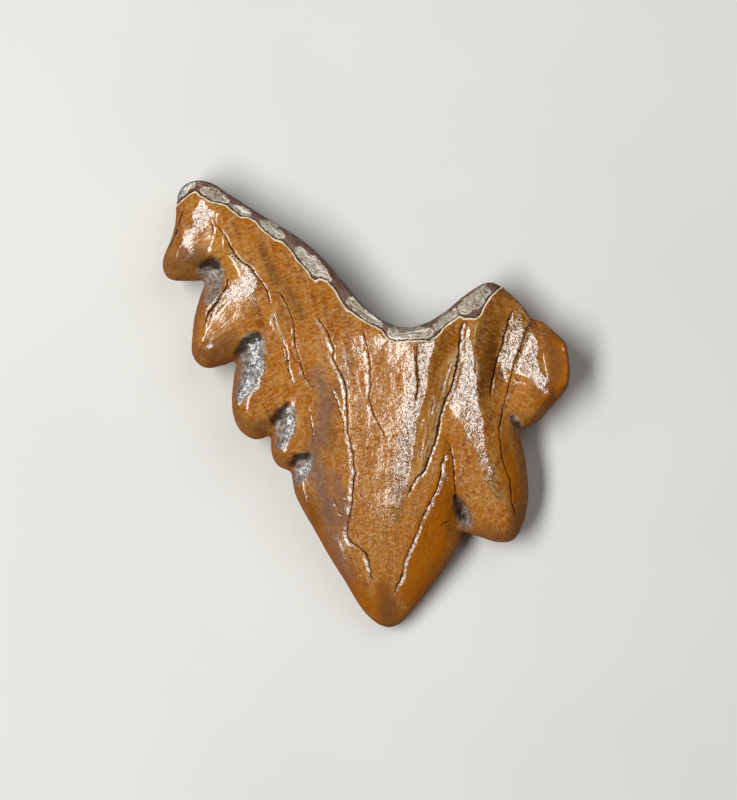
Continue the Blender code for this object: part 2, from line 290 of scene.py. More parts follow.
INNER_CRACKS = (
    Crack(Line(((-16.6, 24.0), (-14.2, 19.1), (-12.8, 14.0), (-9.5, 9.2), (-6.9, 3.8), (-4.8, -3.5),
                (-2.2, -11.4), (0.4, -19.0), (2.0, -24.6))), 0.11, 0.15, 0.08, Face.INNER),
    Crack(Line(((4.9, 9.5), (5.9, 3.2), (4.8, -3.1), (5.6, -10.4), (4.9, -16.0), (5.8, -21.7))),
          0.11, 0.15, -0.08, Face.INNER),
    Crack(Line(((13.2, 14.2), (12.2, 7.8), (13.6, 1.1), (12.4, -6.4), (13.0, -12.6))), 0.1, 0.13, 0.06,
          Face.INNER),
    Crack(Line(((19.9, 14.6), (18.8, 8.4), (19.6, 1.3), (20.6, -5.9), (20.1, -12.8))), 0.09, 0.12, 0.05,
          Face.INNER),
    Crack(Line(((-22.9, 26.8), (-20.6, 21.6), (-17.2, 16.2), (-14.6, 8.6))), 0.09, 0.11, -0.05, Face.INNER),
    Crack(Line(((-1.4, 8.8), (-0.2, 2.4), (-1.8, -4.2), (-0.6, -9.7))), 0.07, 0.09, 0.04, Face.INNER),
    Crack(Line(((23.7, 9.6), (24.4, 4.6), (26.1, 1.9))), 0.07, 0.08, 0.03, Face.INNER),
)

# Where the enamel ends, left to right, and the dentine of the broken base begins
OUTER_BORDER = Line(((-31.0, 27.8), (-28.6, 28.9), (-27.3, 29.5), (-26.2, 30.5), (-25.0, 31.1), (-24.1, 30.5),
                     (-23.0, 29.7), (-21.4, 29.3), (-20.2, 28.9), (-19.3, 28.1), (-18.3, 27.3), (-16.9, 27.1),
                     (-15.9, 26.5), (-14.9, 25.3), (-13.3, 24.0), (-12.1, 23.6), (-10.9, 22.4), (-10.0, 21.0),
                     (-8.7, 19.7), (-8.0, 18.5), (-7.5, 17.9), (-6.7, 18.4), (-5.6, 17.9), (-4.7, 16.9),
                     (-3.9, 15.4), (-2.9, 13.9), (-1.9, 13.3), (-0.5, 12.3), (0.8, 11.6), (2.2, 10.9),
                     (3.2, 9.5), (4.2, 9.0), (5.3, 9.2), (7.2, 9.3), (9.1, 9.3), (10.0, 9.8), (11.3, 11.2),
                     (13.5, 12.9), (14.4, 12.5), (16.0, 12.5), (16.7, 13.4), (17.3, 14.7), (18.2, 15.9),
                     (19.2, 16.8), (20.3, 17.7), (22.0, 19.5)))
INNER_BORDER = Line(((-31.0, 26.5), (-28.8, 27.4), (-26.0, 28.8), (-23.0, 28.1), (-20.6, 26.0), (-18.2, 25.6),
                     (-15.5, 23.4), (-13.9, 21.2), (-12.1, 20.9), (-9.4, 18.0), (-7.7, 15.1), (-6.1, 14.6),
                     (-3.4, 11.8), (-1.6, 9.2), (0.8, 8.4), (4.4, 7.2), (8.0, 7.6), (10.4, 9.8), (12.6, 10.4),
                     (14.5, 12.6), (16.8, 13.2), (18.4, 15.0), (20.9, 16.4), (23.0, 18.5)))

# Stretches with a steady slope: points along their sharp edge, each with the width to its left, then
# the rise for each millimetre to the right. Later ones go over earlier ones.
FLANKS = (
    # The strip behind the small cusps, and the one between them and the main cusp
    Flank(Line(((-4.0, 6.0, 0), (-2.0, 12.6, 8.5), (-4.6, 17.2, 9.5), (-7.4, 21.0, 9.5), (-12.6, 25.2, 8.5),
                (-17.5, 28.4, 6), (-21.0, 30.4, 0))), -0.1, fade=1.6),
    Flank(Line(((-1.4, -22.0, 0), (-1.2, -17.0, 7.0), (-0.7, -9.5, 9.2), (-1.4, -4.0, 7.8), (-1.8, 2.0, 7.4),
                (-3.4, 8.0, 7.2), (-5.4, 12.0, 6.2), (-7.0, 14.6, 0))), 0.02, fade=1.4),
    # The plain lower part of the main cusp
    Flank(Line(((3.4, -31.6, 0), (4.0, -29.0, 4.4), (4.8, -26.0, 7.8), (6.4, -20.5, 11.2), (7.6, -16.6, 10.4),
                (8.0, -13.0, 9), (8.0, -11.0, 0))), 0.05, fade=1.6),
    # The main cusp's veiled left half, the shoulder below its crest, then its bright crest
    Flank(Line(((2.6, -19.0, 0), (3.4, -15.5, 4.2), (4.6, -12.0, 7.2), (5.6, -6.7, 8.6), (6.4, -1.0, 9.6),
                (6.8, 4.7, 10.2), (7.2, 9.0, 11.0), (7.0, 12.0, 10.5), (6.8, 14.0, 0))), 0.105, fade=1.6),
    Flank(Line(((3.6, -19.6, 0), (4.8, -15.4, 3.4), (5.8, -12.5, 4.6), (6.3, -9.7, 4.8), (7.0, -6.7, 4.8),
                (7.3, -3.4, 4.4), (7.9, -0.9, 4.4), (8.6, 1.9, 4.8), (9.1, 4.7, 5.2), (9.9, 8.6, 5.6),
                (10.1, 9.8, 0))), 0.15, fade=3.0),
    Flank(Line(((4.2, -17.6, 0), (4.9, -15.4, 1.3), (5.8, -12.5, 2.2), (6.3, -9.7, 2.3), (7.0, -6.7, 2.6),
                (7.3, -3.4, 2.1), (7.9, -0.9, 2.0), (8.6, 1.9, 2.3), (9.1, 4.7, 2.6), (9.9, 8.6, 2.8),
                (10.1, 9.8, 0))), 0.245, fade=1.6),
    Flank(Line(((1.6, 4.0, 0), (2.6, 7.0, 3), (3.2, 9.2, 5.5), (1.4, 11.6, 5.5), (-1.6, 14.0, 4.5),
                (-4.0, 15.6, 0))), 0.03, crisp=1.2),
    # The long cusp's plain lower part, its veiled lower left and its bright crest
    Flank(Line(((20.6, -17.4, 0), (19.8, -13.6, 4.4), (18.2, -10.2, 4.8), (17.0, -7.0, 3.8),
                (16.2, -4.4, 2.2), (16.0, -3.0, 0))), 0.08),
    Flank(Line(((15.0, -5.6, 0), (16.2, -2.6, 2.2), (16.4, -0.4, 4.2), (16.2, 1.0, 4.4), (16.0, 3.0, 0))),
          0.195, fade=1.6),
    Flank(Line(((20.6, -14.8, 0), (19.8, -13.0, 0.9), (18.8, -10.8, 1.2), (17.9, -7.8, 1.4),
                (17.3, -4.5, 1.6), (16.9, -1.7, 1.6), (16.5, -0.4, 2.6), (16.3, 0.5, 4.2),
                (16.25, 1.4, 4.2), (16.1, 4.7, 3.2), (15.6, 7.8, 2.1), (15.2, 10.0, 1.3), (15.0, 11.6, 0))),
          0.265, fade=1.2),
    # The chipped cusp's far side, then its broad top
    Flank(Line(((27.8, 0.6, 0), (29.0, 3.0, 2.0), (29.3, 4.8, 3.2), (29.0, 7.2, 3.4), (28.6, 9.0, 3.0),
                (26.6, 11.0, 1.8), (24.6, 12.6, 0))), -0.08, fade=0.8),
    Flank(Line(((26.8, 1.0, 0), (26.4, 2.6, 0.9), (25.7, 4.6, 1.6), (25.4, 5.6, 2.6), (25.2, 6.4, 5.0),
                (24.9, 7.8, 5.7), (24.7, 9.4, 5.2), (24.4, 10.8, 4.5), (24.1, 12.4, 3.6), (23.8, 14.0, 2.6),
                (23.0, 15.6, 0))), 0.278, fade=0.9, tilt=0.0),
    Flank(Line(((20.8, 3.0, 0), (20.6, 4.4, 0.9), (20.6, 6.0, 1.2), (20.8, 7.2, 0))), 0.27),
    # Beside the lower small cusps
    Flank(Line(((-15.6, -2.4, 0), (-12.2, 1.6, 4.0), (-11.0, 4.6, 4.4), (-10.4, 8.0, 4.8), (-10.8, 10.8, 4.0),
                (-12.0, 12.8, 0))), -0.03, fade=0.6),
    Flank(Line(((-9.6, -9.0, 0), (-8.4, -5.6, 2.4), (-8.0, -3.2, 2.8), (-8.4, -0.8, 2.8), (-9.6, 1.8, 0))),
          -0.02, fade=0.5),
    # The small cusps, from the broken base on: the veiled lobe, then its bright upper side
    Flank(Line(((-28.6, 19.6, 0), (-26.6, 20.4, 2), (-24.4, 21.6, 3.4), (-22.6, 23.4, 5), (-21.6, 25.6, 6),
                (-21.8, 27.6, 0))), 0.07),
    Flank(Line(((-26.2, 24.0, 0), (-25.0, 24.8, 1.2), (-23.4, 25.6, 2.4), (-22.9, 27.4, 2.8),
                (-23.4, 29.2, 1.8), (-24.0, 30.2, 0))), 0.173, fade=1.0),
    Flank(Line(((-24.4, 8.4, 0), (-22.6, 9.0, 1.8), (-19.4, 10.8, 3.4), (-17.0, 12.6, 4), (-15.2, 14.6, 4),
                (-14.8, 17.0, 0))), 0.08),
    Flank(Line(((-23.6, 11.4, 0), (-22.2, 13.2, 1.3), (-20.4, 14.9, 1.7), (-18.4, 16.0, 1.8),
                (-16.4, 16.0, 1.8), (-15.6, 17.2, 2.0), (-15.7, 18.6, 1.9), (-16.8, 20.2, 1.3),
                (-18.6, 21.8, 0.8), (-19.9, 22.4, 0))), 0.188, fade=0.5),
    Flank(Line(((-14.0, 12.0, 0), (-12.8, 12.4, 0.7), (-12.2, 13.0, 0.8), (-12.8, 13.8, 0))), 0.2, fade=0.5),
    Flank(Line(((-18.8, -0.8, 0), (-17.6, 1.2, 1.2), (-15.9, 2.6, 2.1), (-14.7, 4.4, 2.6), (-14.7, 6.6, 2.4),
                (-15.3, 8.6, 1.4), (-15.9, 10.0, 0))), 0.165, fade=0.8),
    # The bright left end of the broken base
    Flank(Line(((-28.6, 29.4, 0), (-27.4, 29.8, 1.2), (-26.2, 30.8, 1.8), (-25.2, 32.2, 1.0),
                (-25.0, 33.0, 0))), 0.17, fade=0.6),
    # The bright sides of the two lowest hollows
    Flank(Line(((-12.8, -6.9, 0), (-11.5, -5.3, 0.8), (-10.5, -4.0, 1.4), (-10.3, -2.6, 1.5),
                (-10.8, -1.2, 1.0), (-11.3, -0.3, 0))), 0.25, fade=0.5),
    Flank(Line(((-10.4, -11.7, 0), (-9.2, -10.6, 0.9), (-8.0, -9.3, 1.3), (-7.9, -8.2, 0.9),
                (-8.3, -7.3, 0))), 0.2, fade=0.5),
)

# Pale worn islands on the dentine: points with a radius
DENTINE_ISLANDS = (
    Line(((-27.8, 30.4, 0.4), (-27.0, 31.4, 0.7), (-25.6, 32.2, 0.5))),
    Line(((-23.6, 31.3, 0.5), (-22.2, 30.7, 0.9), (-20.3, 29.6, 0.3))),
    Line(((-18.9, 28.7, 0.5), (-17.3, 27.8, 0.6))),
    Line(((-15.0, 26.5, 0.5), (-13.4, 25.5, 0.8), (-12.5, 24.6, 0.6))),
    Line(((-9.9, 22.6, 0.5), (-8.0, 20.6, 1.1), (-6.6, 19.3, 0.9), (-5.6, 18.4, 0.5))),
    Line(((-2.3, 15.1, 0.6), (0.0, 13.0, 0.6), (2.0, 11.7, 0.4))),
    Line(((3.9, 10.4, 0.9), (5.7, 10.5, 0.9), (8.8, 10.4, 0.8))),
    Line(((10.2, 11.3, 0.5), (11.6, 12.5, 0.6), (12.9, 13.5, 0.5))),
    Line(((14.2, 14.1, 0.9), (15.6, 15.0, 1.2), (17.3, 16.7, 0.7))),
)

# Grey mineral stain in the hollows: points with a radius, then how strong it is
STAINS = (
    (Line(((-23.4, 19.4, 1.2), (-22.4, 19.2, 1.8), (-22.2, 17.4, 1.5), (-23.0, 15.4, 0.8))), 1.0),
    (Line(((-16.4, 8.8, 1.7), (-16.7, 6.4, 2.1), (-17.1, 3.8, 1.8), (-18.2, 1.4, 1.0))), 1.0),
    (Line(((-11.5, -1.3, 1.3), (-11.9, -3.4, 1.5), (-12.5, -5.6, 0.9))), 1.0),
    (Line(((-8.9, -8.2, 1.3), (-9.5, -9.8, 1.3), (-10.2, -11.2, 0.7))), 0.9),
    (Line(((13.2, -14.0, 0.6), (14.1, -15.6, 1.0), (14.7, -17.3, 0.9))), 1.0),
    (Line(((21.7, -2.2, 0.6), (22.3, -3.4, 0.6))), 0.9),
)

# Where the enamel is smooth and amber, darker (dusky at the tip, painted shade on the lower sides of the
# cusps' lobes), mauve, or flaking along its growth: points with a radius
AMBER_ZONES = (
    Line(((11.7, -5.0, 0.8), (11.6, -10.0, 1.4), (10.6, -16.0, 2.6), (8.8, -22.0, 2.8), (6.8, -27.6, 1.8))),
    Line(((19.6, -5.0, 0.7), (20.6, -8.0, 1.3), (21.8, -13.0, 1.2))),
    Line(((-9.0, -13.0, 0.6), (-7.8, -16.6, 0.9), (-5.8, -20.6, 0.9), (-3.2, -25.6, 0.9), (0.4, -29.6, 1.2))),
    Line(((2.2, -27.4, 1.0), (3.0, -31.0, 2.2))),
    Line(((27.6, 9.4, 1.2), (28.2, 5.0, 1.8), (26.6, 1.4, 2.0))),
)
DUSKY_AND_SHADED_ZONES = (
    Line(((3.3, -32.2, 1.2), (3.4, -29.8, 1.4), (2.8, -27.4, 0.7))),
    Line(((-3.0, 7.4, 0.4), (-3.6, 3.0, 0.8), (-5.6, -1.0, 0.8), (-5.2, -6.0, 0.6))),
    Line(((-15.4, 22.6, 0.3), (-13.4, 19.0, 0.6), (-11.0, 16.0, 0.5), (-9.4, 13.0, 0.3))),
    Line(((22.6, -15.4, 0.6), (22.0, -18.4, 0.8), (19.4, -19.4, 0.5))),
    # Painted shade on the lower sides of the small cusps' lobes, then on the chipped cusp's right side
    Line(((-28.8, 20.6, 1.1), (-26.4, 21.0, 2.0), (-24.2, 21.6, 1.5))),
    Line(((-24.6, 7.6, 0.8), (-22.4, 7.8, 1.6), (-19.8, 9.2, 1.4))),
    Line(((-18.6, -1.8, 0.5), (-16.4, -3.4, 0.9), (-14.0, -2.4, 0.8))),
    Line(((-12.6, -7.6, 0.4), (-11.2, -8.2, 0.5))),
    Line(((-9.8, -12.2, 0.4), (-8.4, -14.6, 0.6), (-7.2, -17.0, 0.4))),
    Line(((26.0, 11.0, 0.4), (27.2, 7.8, 0.8), (27.4, 4.6, 0.8), (25.2, 1.8, 0.5))),
)
MAUVE_ZONES = (
    Line(((-7.8, -5.6, 0.8), (-6.9, -10.6, 1.3), (-5.5, -15.2, 1.2), (-4.4, -20.6, 1.0), (-2.8, -25.4, 0.7))),
    Line(((-7.1, 4.4, 0.8), (-5.9, 1.5, 0.8), (-6.5, -2.2, 0.9), (-7.1, -5.9, 1.0))),
    Line(((-4.6, -10.0, 0.4), (-3.4, -14.6, 0.9), (-3.2, -18.0, 0.5))),
)
FLAKY_ZONES = (
    Line(((16.2, 11.6, 0.6), (14.2, 8.0, 0.9), (12.4, 5.0, 1.2), (10.9, 1.6, 1.2), (9.6, -2.0, 1.0),
          (8.4, -6.0, 0.8), (7.0, -10.6, 0.5))),
    Line(((13.6, -1.4, 0.4), (15.0, -3.6, 0.8), (16.2, -6.0, 0.5))),
    Line(((-13.4, 14.0, 0.3), (-12.8, 11.6, 0.8), (-12.2, 9.2, 0.3))),
)

# The darkest stain, with a painted shadow, right below the next cusp's edge: points with a radius
STAIN_AND_SHADOW_CORES = (
    Line(((-23.9, 20.3, 0.5), (-22.7, 20.9, 0.7), (-21.7, 20.2, 0.6))),
    Line(((-19.0, 7.2, 0.5), (-17.7, 8.8, 0.8), (-15.9, 9.9, 0.7))),
    Line(((-13.5, -2.4, 0.5), (-12.6, -1.1, 0.7), (-11.4, -0.2, 0.6))),
    Line(((-10.9, -8.7, 0.5), (-9.9, -7.6, 0.6), (-8.6, -7.3, 0.5))),
    Line(((13.6, -14.4, 0.4), (14.2, -16.4, 0.5))),
    Line(((21.9, -2.6, 0.3), (22.3, -3.3, 0.3))),
)

# The width over which each kind of zone fades
ZONES = {
    "amber": (AMBER_ZONES, 0.9),
    "dusk_and_shade": (DUSKY_AND_SHADED_ZONES, 1.3),
    "mauve": (MAUVE_ZONES, 1.2),
    "flaky": (FLAKY_ZONES, 0.8),
    "stain_shadow_core": (STAIN_AND_SHADOW_CORES, 0.8),
}
STAIN_FADE = 1.4

# Small deep pits where two cusps meet: points with a radius, then the depth
PITS = (
    (Line(((13.1, -13.4, 0.3), (13.5, -14.6, 0.7), (14.1, -15.8, 0.9), (14.7, -17.2, 0.6))), 0.9),
    (Line(((21.5, -2.0, 0.4), (22.1, -3.2, 0.5))), 0.5),
)

# The broken edge of the chipped cusp: points with how far in from it the face is squared off
CHIPPED_EDGE = Line(((27.0, -0.6, 0), (28.4, 1.0, 2.4), (29.7, 2.8, 3.4), (30.0, 4.7, 3.6), (29.7, 7.1, 3.6),
                     (29.4, 9.1, 3.2), (27.6, 10.8, 2.6), (26.0, 12.2, 1.6), (24.2, 12.8, 0)))


@dataclass
class CrownSkin:
    """The tooth's visible skin: a fine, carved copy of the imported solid.

    Args:
        node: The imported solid's name.
        grain: The size of the skin's faces.
        crack_band: How far from a crack the faces are cut finer, on the seam's side.
        far_band: How far on the other side.
        seam_long: The width of a crack's seam on its side that faces left.
        seam_short: Its width on the other side.
        enamel_step: The height of the broken enamel edge above the dentine.
        enamel_fade: How far from that edge the step has died away.
        edge_bead: The height of the bead along that edge.
        wander: How far the lines of cracks and borders stray.
        flank_reach: How far a flank's slope shifts the heights around it.
        slack: How firmly the skin beside the flanks keeps its slope.
        fray: How ragged the flanks' edges are.
        passes: How many times the flanks are leaned.
        bright: The lean from which a flank is also levelled from tip to base.
        squaring: How much of the way to a broken edge its face is drawn out.
        crack_reach: How far from a crack points are measured against it.
        crack_taper: The length over which a crack thins out at its ends.
        crack_vary: How much a crack's width and depth vary along it.
        island_worn: How far the dentine's islands are worn down.
        unevenness: The skin's swells: the height, the width and the noise's seed of each.
        flute_depth: How deep the fluting along the growth is.
        flute_scale: How finely the fluting is read, across the growth and along it.
        growth_start: The point below the tip where the growth's streaks meet.
        growth_fan: How many millimetres across the growth one radian stands for.
        growth_rise: How much the height counts in the growth's third coordinate.
    """

    node: str = "tooth"
    grain: float = 0.35
    crack_band: float = 0.3
    far_band: float = 0.45
    seam_long: float = 0.4
    seam_short: float = 0.14
    enamel_step: float = 0.26
    enamel_fade: float = 2.2
    edge_bead: float = 0.04
    wander: float = 0.14
    flank_reach: float = 30.0
    slack: float = 0.06
    fray: float = 0.3
    passes: int = 3
    bright: float = 0.16
    squaring: float = 0.65
    crack_reach: float = 1.6
    crack_taper: float = 1.5
    crack_vary: float = 0.45
    island_worn: float = 0.08
    unevenness: tuple[tuple[float, float, int], ...] = ((0.05, 5.5, 6), (0.04, 2.3, 7), (0.02, 1.1, 11))
    flute_depth: float = 0.035
    flute_scale: tuple[float, float] = (0.9, 0.2)
    growth_start: tuple[float, float] = (3.3, -34.0)
    growth_fan: float = 40.0
    growth_rise: float = 0.35
    places: np.ndarray = field(init=False)
    normals: np.ndarray = field(init=False)
    links: np.ndarray = field(init=False)

    def fine_copy(self) -> bpy.types.Object:
        """Copies the solid, merges its corners, rounds it off and covers it in small even faces.

        Returns:
            The new object, in millimetres.
        """
        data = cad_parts[self.node].data.copy()
        data.materials.clear()
        merged = bmesh.new()
        merged.from_mesh(data)
        bmesh.ops.remove_doubles(merged, verts=merged.verts, dist=1e-7)
        bmesh.ops.scale(merged, vec=(1 / MM,) * 3, verts=merged.verts)
        merged.to_mesh(data)
        merged.free()
        rough = bpy.data.objects.new("rough_crown", data)
        bpy.context.scene.collection.objects.link(rough)
        rounding = rough.modifiers.new("rounding", "SUBSURF")
        rounding.levels = rounding.render_levels = 2
        skin = rough.modifiers.new("skin", "REMESH")
        skin.mode = "VOXEL"
        skin.voxel_size = self.grain
        relax = rough.modifiers.new("relax", "SMOOTH")
        relax.factor, relax.iterations = 0.5, 5
        depsgraph = bpy.context.evaluated_depsgraph_get()
        fine = bpy.data.meshes.new_from_object(rough.evaluated_get(depsgraph))
        bpy.data.objects.remove(rough)
        crown = bpy.data.objects.new("crown", fine)
        bpy.context.scene.collection.objects.link(crown)
        return crown

    def read(self, data: bpy.types.Mesh) -> None:
        """Reads the mesh's points, normals and edges.

        Args:
            data: The mesh.
        """
        count = len(data.vertices)
        self.places = np.empty(count * 3)
        data.vertices.foreach_get("co", self.places)
        self.places = self.places.reshape(-1, 3)
        self.normals = np.empty(count * 3)
        data.vertices.foreach_get("normal", self.normals)
        self.normals = self.normals.reshape(-1, 3)
        self.links = np.empty(len(data.edges) * 2, dtype=np.int64)
        data.edges.foreach_get("vertices", self.links)
        self.links = self.links.reshape(-1, 2)

    def write(self, data: bpy.types.Mesh) -> None:
        """Moves the mesh's points to their new places.

        Args:
            data: The mesh.
        """
        data.vertices.foreach_set("co", self.places.ravel())
        data.update()

    def averaged(self, values: np.ndarray, rounds: int) -> np.ndarray:
        """Averages values over neighbouring points.

        Args:
            values: One row for each point.
            rounds: How many times.

        Returns:
            The averaged values.
        """
        a, b = self.links.T
        count = len(values)
        degree = np.maximum(np.bincount(a, minlength=count) + np.bincount(b, minlength=count), 1)
        columns = [values[:, k].copy() for k in range(values.shape[1])]
        for _ in range(rounds):
            for k, column in enumerate(columns):
                total = np.bincount(a, column[b], count) + np.bincount(b, column[a], count)
                columns[k] = 0.5 * column + 0.5 * total / degree
        return np.column_stack(columns)

    def on_face(self, face: Face) -> np.ndarray:
        """How much each point belongs to a face.

        Args:
            face: The face.

        Returns:
            1 on the face, 0 on the other one, eased along the keel.
        """
        return smooth_step(self.normals[:, 2] * face.value, -0.05, 0.25)

    def wandering(self) -> np.ndarray:
        """Plan positions shifted a little at random, which makes a smooth line on them ragged.

        Returns:
            The shifted plan positions.
        """
        shift = np.column_stack([rough_field(self.places, 0.9, 1), rough_field(self.places, 0.9, 2)])
        small = np.column_stack([rough_field(self.places, 0.35, 3), rough_field(self.places, 0.35, 4)])
        return self.places[:, :2] + self.wander * shift + 0.35 * self.wander * small

    def frayed(self) -> np.ndarray:
        """A distance for each point that makes the flanks' edges ragged."""
        return self.fray * rough_field(self.places, 2.2, 9)

    def crack_field(self, plan: np.ndarray) -> dict[str, np.ndarray]:
        """Measures every point against the nearest crack of its own face.

        Args:
            plan: Plan positions.

        Returns:
            The signed offset, the groove's half width (0 where there is no crack), its depth, the seam's
            height and spread, 1 where it is right of the groove or -1, and the shift onto the line.
        """
        count, reach = len(plan), self.crack_reach
        found = {name: np.zeros(count) for name in ("width", "depth", "lip", "side")}
        found["offset"], found["crust"] = np.full(count, reach), np.full(count, Crack.crust)
        found["shift"] = np.zeros((count, 2))
        for crack in OUTER_CRACKS + INNER_CRACKS:
            path = np.array(crack.line.points)
            close = ((plan > path.min(0) - reach) & (plan < path.max(0) + reach)).all(1)
            close &= self.normals[:, 2] * crack.face.value > 0
            rows = np.flatnonzero(close)
            signed, along, near = crack.line.measure(plan[rows])
            nearer = np.abs(signed) < np.abs(found["offset"][rows])
            rows, signed, along, near = rows[nearer], signed[nearer], along[nearer], near[nearer]
            length = np.linalg.norm(np.diff(path, axis=0), axis=1).sum()
            taper = smooth_step(np.minimum(along, 1 - along) * length, 0.0, self.crack_taper)
            vary = 1 + self.crack_vary * rough_field(self.places[rows], 1.3, 5)
            found["offset"][rows] = signed if crack.lip >= 0 else -signed
            found["width"][rows] = crack.width * taper * vary
            found["depth"][rows] = crack.depth * taper * vary
            beads = np.clip(0.9 + 1.1 * rough_field(self.places[rows], 0.6, 10), 0.25, 1.6)
            found["lip"][rows] = abs(crack.lip) * taper * beads
            outward = (plan[rows, 0] - near[:, 0]) * np.copysign(1, crack.lip * signed)
            found["side"][rows] = np.copysign(1, outward)
            found["crust"][rows] = crack.crust
            found["shift"][rows] = near - plan[rows]
        return found

    def refine(self, crown: bpy.types.Object) -> None:
        """Cuts the faces finer along the cracks and the enamel's edge.

        Args:
            crown: The object.
        """
        self.read(crown.data)
        plan = self.wandering()
        cracks = self.crack_field(plan)
        past = np.where(cracks["lip"] > 0.03, self.seam_long + self.seam_short, 0)
        near = (cracks["offset"] > -self.far_band) & (cracks["offset"] < self.crack_band + 0.5 * past)
        near &= cracks["width"] > 0
        for face, border in ((Face.OUTER, OUTER_BORDER), (Face.INNER, INNER_BORDER)):
            signed = border.measure(plan)[0]
            near |= (np.abs(signed) < self.crack_band) & (self.normals[:, 2] * face.value > 0)
        mesh = bmesh.new()
        mesh.from_mesh(crown.data)
        chosen = [e for e in mesh.edges if near[e.verts[0].index] and near[e.verts[1].index]]
        bmesh.ops.subdivide_edges(mesh, edges=chosen, cuts=2, use_grid_fill=True)
        mesh.to_mesh(crown.data)
        mesh.free()
        LOG.info("skin has %d triangles", sum(len(p.vertices) - 2 for p in crown.data.polygons))

    def settle(self, push: np.ndarray, stiff: np.ndarray, hold: np.ndarray, rounds: int = 450) -> np.ndarray:
        """Finds the heights at which the skin comes to rest, by conjugate gradients.

        Args:
            push: How hard each point is pushed up by the slopes around it.
            stiff: How well each edge keeps its slope.
            hold: How hard each point is held where it is.
            rounds: How many steps are made.

        Returns:
            How far each point rises.
        """
        a, b = self.links.T
        count = len(push)
        rise, left, way = np.zeros(count), push.copy(), push.copy()
        size = left @ left
        for _ in range(rounds):
            gap = stiff * (way[b] - way[a])
            pushed = hold * way + np.bincount(b, gap, count) - np.bincount(a, gap, count)
            pace = size / (way @ pushed)
            rise += pace * way
            left -= pace * pushed
            rest = left @ left
            way = left + (rest / size) * way
            size = rest
        return rise

    def square_edge(self, crown: bpy.types.Object) -> None:
        """Draws the outer face out towards the chipped cusp's broken edge, so that it ends abruptly.

        Args:
            crown: The object.
        """
        self.read(crown.data)
        plan = self.places[:, :2]
        signed, along, near = CHIPPED_EDGE.measure(plan)
        reach = np.maximum(CHIPPED_EDGE.third(along), 0.01)
        share = self.squaring * np.clip(1 - np.abs(signed) / reach, 0, 1)
        share *= smooth_step(self.normals[:, 2], -0.05, 0.15)
        self.places[:, :2] += share[:, None] * (near - plan)
        self.write(crown.data)

    def lean_flanks(self, crown: bpy.types.Object) -> None:
        """Turns the outer face to the flanks' slopes and lets its heights follow, with no step between them.

        Args:
            crown: The object.
        """
        self.read(crown.data)
        plan = self.places[:, :2]
        faces_up = smooth_step(self.normals[:, 2], 0.15, 0.6)
        slope = -self.normals[:, :2] / np.maximum(self.normals[:, 2:], 0.3)
        ragged = self.frayed()
        wanted, firm = slope.copy(), np.zeros(len(plan))
        for flank in FLANKS:
            share = flank.share(plan, ragged)
            wanted[:, 0] += share * (flank.lean - wanted[:, 0])
            if flank.lean > self.bright:
                level = np.clip(slope[:, 1], -flank.tilt, flank.tilt)
                wanted[:, 1] += share * (level - wanted[:, 1])
            firm = np.maximum(firm, share)
        change = faces_up[:, None] * (wanted - slope)
        a, b = self.links.T
        stiff = self.slack + (1 - self.slack) * 0.5 * (firm[a] + firm[b])
        pull = stiff * 0.5 * ((change[a] + change[b]) * (plan[b] - plan[a])).sum(1)
        push = np.bincount(b, pull, len(plan)) - np.bincount(a, pull, len(plan))
        hold = (self.grain / self.flank_reach) ** 2 + 4 * smooth_step(self.normals[:, 2], 0.25, 0.0)
        rise = self.settle(push, stiff, hold)
        LOG.info("flanks move the skin by %.2f to %.2f", rise.min(), rise.max())
        self.places[:, 2] += rise
        self.write(crown.data)

    def carve(self, crown: bpy.types.Object) -> None:
        """Cuts the cracks, the enamel's broken edge and the dentine's worn islands, and wrinkles the skin.

        Args:
            crown: The object.
        """
        self.read(crown.data)
        plan = self.wandering()
        cracks = self.crack_field(plan)
        onto = (np.abs(cracks["offset"]) < 0.2 * self.grain) & (cracks["width"] > 0.03)
        self.places[:, :2] += np.where(onto[:, None], cracks["shift"], 0)
        offset = np.where(onto, 0, cracks["offset"])
        width = np.maximum(cracks["width"], 0.02)
        groove = cracks["depth"] * np.exp(-((offset / width) ** 2))
        beyond = np.clip(offset - 0.6 * width, 0, None)
        up = np.where(cracks["side"] > 0, self.seam_long, self.seam_short)
        down = np.where(cracks["side"] > 0, self.seam_short, self.seam_long)
        lip = cracks["lip"] * np.clip(np.minimum(beyond / up, 1 - (beyond - up) / down), 0, 1)
        outer, inner = self.on_face(Face.OUTER), self.on_face(Face.INNER)
        step = np.zeros(len(plan))
        for share, border in ((outer, OUTER_BORDER), (inner, INNER_BORDER)):
            into = -border.measure(plan)[0]
            ease = np.exp(-np.abs(into) / self.enamel_fade)
            edge = self.edge_bead * np.exp(-((into - 0.2) / 0.2) ** 2)
            step += share * (0.5 * self.enamel_step * ease * np.clip(into / 0.09, -1, 1) + edge)
        island = smooth_step(deepest(DENTINE_ISLANDS, plan), -0.05, 0.12)
        for line, depth in PITS:
            step -= depth * outer * smooth_step(line.depth_inside(plan), -0.25, 0.5)
        swell = sum(height * rough_field(self.places, size, seed) for height, size, seed in self.unevenness)
        flutes = rough_field(self.growth(self.flute_scale), 1.0, 8)
        rise = step + lip - groove - self.island_worn * island * outer + swell + self.flute_depth * flutes
        self.places += rise[:, None] * self.normals
        self.places[:, 2] = np.maximum(self.places[:, 2], 0.0)
        self.write(crown.data)

    def growth(self, scale: tuple[float, float]) -> np.ndarray:
        """Positions along the tooth's growth: across the streaks that meet below the tip, and along them.

        Args:
            scale: How far apart the noise is read across the streaks and along them.

        Returns:
            One row for each point.
        """
        away = self.places[:, :2] - np.array(self.growth_start)
        reach = np.linalg.norm(away, axis=1)
        turn = np.arctan2(away[:, 0], away[:, 1])
        across = turn * self.growth_fan * scale[0]
        return np.column_stack([across, reach * scale[1], self.growth_rise * self.places[:, 2]])

